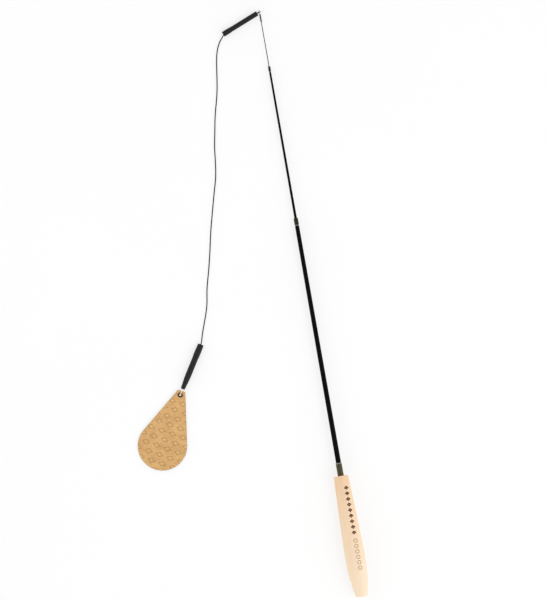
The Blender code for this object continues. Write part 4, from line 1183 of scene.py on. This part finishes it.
def whip_cap_and_eye(sizes):
    """Whip, the cap on its end and the wire eye, whose stem stands in the cap."""
    whip = Measured("tip_whip")
    cap = Measured("tip_cap")
    eye = Measured("tip_eye")
    tip_radius = whip.radius_at(whip.top)
    profile = [(tip_radius, whip.top), (whip.radius_at(whip.foot), whip.foot)]
    turned_piece(
        "ground_whip", profile, bare_glass_fibre(), "tip_body", "whip_fibre", "tip_whip",
        bored=False, sides=WHIP_SIDES)
    low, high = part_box("tip_eye")
    wire = (high.z - low.z) / 2
    edge = sizes.fine_edge
    fit = 0.12 * MM
    gap = 0.3 * MM
    profile = [(wire + fit, eye.foot - gap), (wire + fit, cap.top)]
    profile += arc((cap.radius - 2 * edge, cap.top - 2 * edge), 2 * edge, 90, 0)
    profile += arc((cap.radius - edge, cap.foot + edge), edge, 0, -90)
    profile += [(tip_radius + fit, cap.foot), (tip_radius + fit, whip.top + gap)]
    turned_piece(
        "moulded_cap", profile, once(moulded_nylon), "tip_body", "black_plastic", "tip_cap",
        bored=False)
    centre = (EYE - BUTT).dot(ROD_WAY)
    radius = eye.radius - wire
    circle = [
        BUTT + ROD_WAY * centre + radius * (SIDE * cos(a) + ROD_WAY * sin(a)) for a in turns(EYE_STEPS)]
    ring = swept("eye_ring", circle, wire, joined=True)
    stem = swept("eye_stem", [BUTT + ROD_WAY * at for at in (eye.foot, centre - radius)], wire)
    piece = placed("wire_eye", shaded(combined(ring, stem, "UNION", "EXACT")))
    finish_piece(piece, metal("nickel_plate"), "tip_body", "bright_wire", "tip_eye")


class WAND_OT_sections(bpy.types.Operator):
    """Add the rod's tubes, ferrules, whip, cap and eye"""

    bl_idname = "wand.sections"
    bl_label = "Rod sections"

    def execute(self, context):
        sizes = settings("rod")
        lacquered_tube("outer_tube", "handle_body", sizes.tube_wall, sizes.straight)
        lacquered_tube("mid_tube", "mid_body", sizes.mid_wall, 0.0)
        turned_ferrule("mouth_ferrule", "handle_body", sizes.edge)
        turned_ferrule("tip_ferrule", "mid_body", sizes.fine_edge)
        whip_cap_and_eye(sizes)
        keep_nodes(once(moulded_nylon), "tube_end_plug", "stop_bush", "tip_stop_bead")
        return {"FINISHED"}


def cord_loop(leg_end, place):
    """Cord doubled through the eye, its legs pinched together in the sleeve."""
    pinch = 0.95 * MM
    bend = 1.5 * MM
    leg = [(along, pinch) for along in (leg_end, (leg_end + 12 * MM) / 2, 12 * MM, 8 * MM)]
    leg += [(5 * MM, 1.18 * MM), (3.2 * MM, 1.42 * MM)]
    outline = leg + arc((bend, 0), bend, 90, 270, 8) + [(along, -up) for along, up in reversed(leg)]
    knots = [place @ Vector((0, EYE.z + up, along)) for along, up in outline]
    braided("braided_loop", smooth_curve(knots, 0.7 * MM), "upper_loop")


def wire_loop(leg_end, place):
    """Wire through the leather's hole, one leg over the leather and one under it."""
    wire = 0.47 * MM
    pinch = 0.68 * MM
    low = wire + FLOOR_GAP
    high = 4.17 * MM
    rise = (high - low) / 2
    foot, run, axis = LOWER_SLEEVE.foot, LOWER_SLEEVE.length, LOWER_SLEEVE.axis
    held = [leg_end, (leg_end + run / 2) / 2, run / 3]
    outline = [(along, axis + pinch) for along in held] + [(foot, high), (foot - 4.4 * MM, high)]
    outline += arc((rise, low + rise), rise, 90, 270, 8)
    outline += [(foot + past * MM, low + up * MM) for past, up in LOW_LEG_RISE_MM]
    outline += [(along, axis - pinch) for along in reversed(held)]
    knots = [place @ Vector((0, height, along)) for along, height in outline]
    piece = swept("wire_loop", smooth_curve(knots, 0.5 * MM), wire)
    finish_piece(piece, metal("nickel_plate"), "line_body", "bright_wire", "lower_loop")


class WAND_OT_line_ends(bpy.types.Operator):
    """Add the loops, the crimps and the soft sleeves at both ends of the cord"""

    bl_idname = "wand.line_ends"
    bl_label = "Line ends"

    def execute(self, context):
        sizes = settings("line")
        upper = line_frame(EYE, sizes.upper_yaw)
        lower = line_frame(HOLE, sizes.lower_yaw)
        to_crimp = sizes.end_held + 0.4 * MM
        cord_loop(UPPER_SLEEVE.end - to_crimp, upper)
        wire_loop(LOWER_SLEEVE.end - to_crimp, lower)
        make_sleeve("upper_soft_sleeve", UPPER_SLEEVE, upper, "upper_sleeve")
        make_sleeve("lower_soft_sleeve", LOWER_SLEEVE, lower, "lower_sleeve")
        keep_nodes(metal("nickel_plate"), "upper_crimp", "lower_crimp")
        return {"FINISHED"}


def drop_outline(sizes):
    """Right half of the flat face's outline, from its top to its round end."""
    run = sizes.hole_to_centre + sizes.hole_to_top
    turn = atan2(sizes.top_half_width, run)
    start = 90 - degrees(acos(sizes.radius / hypot(run, sizes.top_half_width)) + turn)
    foot = (sizes.radius * cos(radians(start)),
            sizes.radius * sin(radians(start)) - sizes.hole_to_centre)
    lean = degrees(atan2(foot[0] - sizes.top_half_width, sizes.hole_to_top - foot[1]))
    corner = (sizes.top_half_width - sizes.corner, sizes.hole_to_top - sizes.corner)
    upper = arc(corner, sizes.corner - sizes.edge, 88, lean, 8)
    lower = arc((0, -sizes.hole_to_centre), sizes.radius - sizes.edge, start, -88.5, 120)
    straight = 150
    (x, y), (end_x, end_y) = upper[-1], lower[0]
    side = [
        (x + (end_x - x) * i / straight, y + (end_y - y) * i / straight) for i in range(1, straight)]
    return upper + side + lower


def leather_blank(sizes, place):
    """Leather with worn edges, before it is pierced and pressed: a fine grid and a plain back."""
    columns = 150
    width = columns + 1
    half = sizes.thickness / 2
    outline = drop_outline(sizes)
    rows = len(outline)
    points = [Vector((x * (2 * i / columns - 1), y, half)) for x, y in outline for i in range(width)]
    faces = [
        (a, a + width, a + width + 1, a + 1)
        for row in range(rows - 1) for a in range(row * width, row * width + columns)]
    rim = list(range(width)) + [row * width + columns for row in range(1, rows)]
    rim += [(rows - 1) * width + i for i in reversed(range(columns))]
    rim += [row * width for row in reversed(range(1, rows - 1))]
    count = len(rim)
    flat = [points[k] for k in rim]
    ways = [flat[(k + 1) % count] - flat[k - 1] for k in range(count)]
    outs = [Vector((-way.y, way.x, 0)).normalized() for way in ways]
    levels = [
        (sizes.edge * sin(a), half - sizes.edge * (1 - cos(a))) for a in map(radians, (30, 60, 90))]
    levels += [(out, -height) for out, height in reversed(levels)] + [(0.0, -half)]
    last = rim
    for out, height in levels:
        ring = range(len(points), len(points) + count)
        points += [Vector((p.x, p.y, height)) + o * out for p, o in zip(flat, outs)]
        faces += [
            (last[k], last[(k + 1) % count], ring[(k + 1) % count], ring[k]) for k in range(count)]
        last = ring
    faces.append(tuple(last))
    return mesh_piece("leather_base", [place @ point for point in points], faces)


def pressed_leather(sizes, place, face):
    """Leather drop, pierced for its eyelet, with its pattern pressed in and its edge painted."""
    past = sizes.thickness
    # The hole, and the rings that the eyelet and its washer press into the faces
    hole, ring, back_ring = 2.05 * MM, 3.55 * MM, 3.25 * MM
    profile = [
        (ring, past), (ring, face), (hole, face), (hole, -face), (back_ring, -face),
        (back_ring, -past)]
    cutter = turned("hole_cutter", profile, bored=False, sides=HOLE_SIDES, place=place)
    pierced = combined(leather_blank(sizes, place), cutter, "DIFFERENCE", "MANIFOLD")
    tan = tanned_leather()
    piece = grown(
        "pressed_leather", pierced, pressed_tree(), Hole=HOLE, Yaw=sizes.yaw,
        Across=sizes.pattern_step, Row=sizes.pattern_row, Long=sizes.lozenge_long,
        Wide=sizes.lozenge_wide, Line=sizes.line_width, Depth=sizes.press_depth, Material=tan)
    finish_piece(piece, tan, "drop_body", "leather_tan", "leather_drop")
    piece.data.materials.append(painted_edge())
    for polygon in piece.data.polygons:
        cut_edge = abs(polygon.normal.dot(HOLE_AXIS)) < 0.8
        polygon.material_index = int(cut_edge)
    shaded(piece.data, LEATHER_ANGLE)


def rolled_eyelet(place, face):
    """Rolled barrel with a rounded flange that lies in its pressed ring."""
    foot = face + 0.15 * MM
    top = foot + 0.45 * MM
    low = -face - 0.5 * MM
    bore, barrel, flange = 1.4 * MM, 1.9 * MM, 3.4 * MM
    roll, rim = 0.4 * MM, 0.3 * MM
    profile = [(bore, low)] + arc((bore + roll, top - roll), roll, 180, 90)
    profile += arc((flange - rim, top - rim), rim, 90, 0)
    profile += [(flange, foot), (barrel, foot), (barrel, low)]
    brass = metal("antiqued_brass")
    turned_piece(
        "antiqued_eyelet", profile, brass, "drop_body", "eyelet_antique", "eyelet", place=place)
    keep_nodes(brass, "eyelet_washer")


class WAND_OT_drop(bpy.types.Operator):
    """Add the leather drop with its pressed pattern, and its eyelet"""

    bl_idname = "wand.drop"
    bl_label = "Drop"

    def execute(self, context):
        sizes = settings("drop")
        place = drop_frame()
        # Face of the ring that the eyelet presses into the leather, from the leather's middle
        face = sizes.thickness / 2 - 0.45 * MM
        pressed_leather(sizes, place, face)
        rolled_eyelet(place, face)
        return {"FINISHED"}


class WAND_PT_build(bpy.types.Panel):
    """Panel with the builders in their order"""

    bl_idname = "WAND_PT_build"
    bl_label = "Teaser wand"
    bl_space_type = "VIEW_3D"
    bl_region_type = "UI"
    bl_category = "Wand"

    def draw(self, context):
        for operator in OPERATORS:
            self.layout.operator(operator.bl_idname, text=operator.bl_label)


GROUPS = {
    "stage": WandStage, "handle": WandHandle, "rod": WandRod, "line": WandLine, "drop": WandDrop}
OPERATORS = (
    WAND_OT_stage, WAND_OT_cord, WAND_OT_handle, WAND_OT_collar, WAND_OT_sections, WAND_OT_line_ends,
    WAND_OT_drop)
CLASSES = (*GROUPS.values(), *OPERATORS, WAND_PT_build)


def register():
    for cls in CLASSES:
        bpy.utils.register_class(cls)
    for name, group in GROUPS.items():
        setattr(bpy.types.Scene, "wand_" + name, PointerProperty(type=group))


def unregister():
    for name in GROUPS:
        delattr(bpy.types.Scene, "wand_" + name)
    for cls in reversed(CLASSES):
        bpy.utils.unregister_class(cls)


def main():
    """Build everything in order."""
    register()
    for operator in OPERATORS:
        group, name = operator.bl_idname.split(".")
        getattr(getattr(bpy.ops, group), name)()


if __name__ == "__main__":
    main()
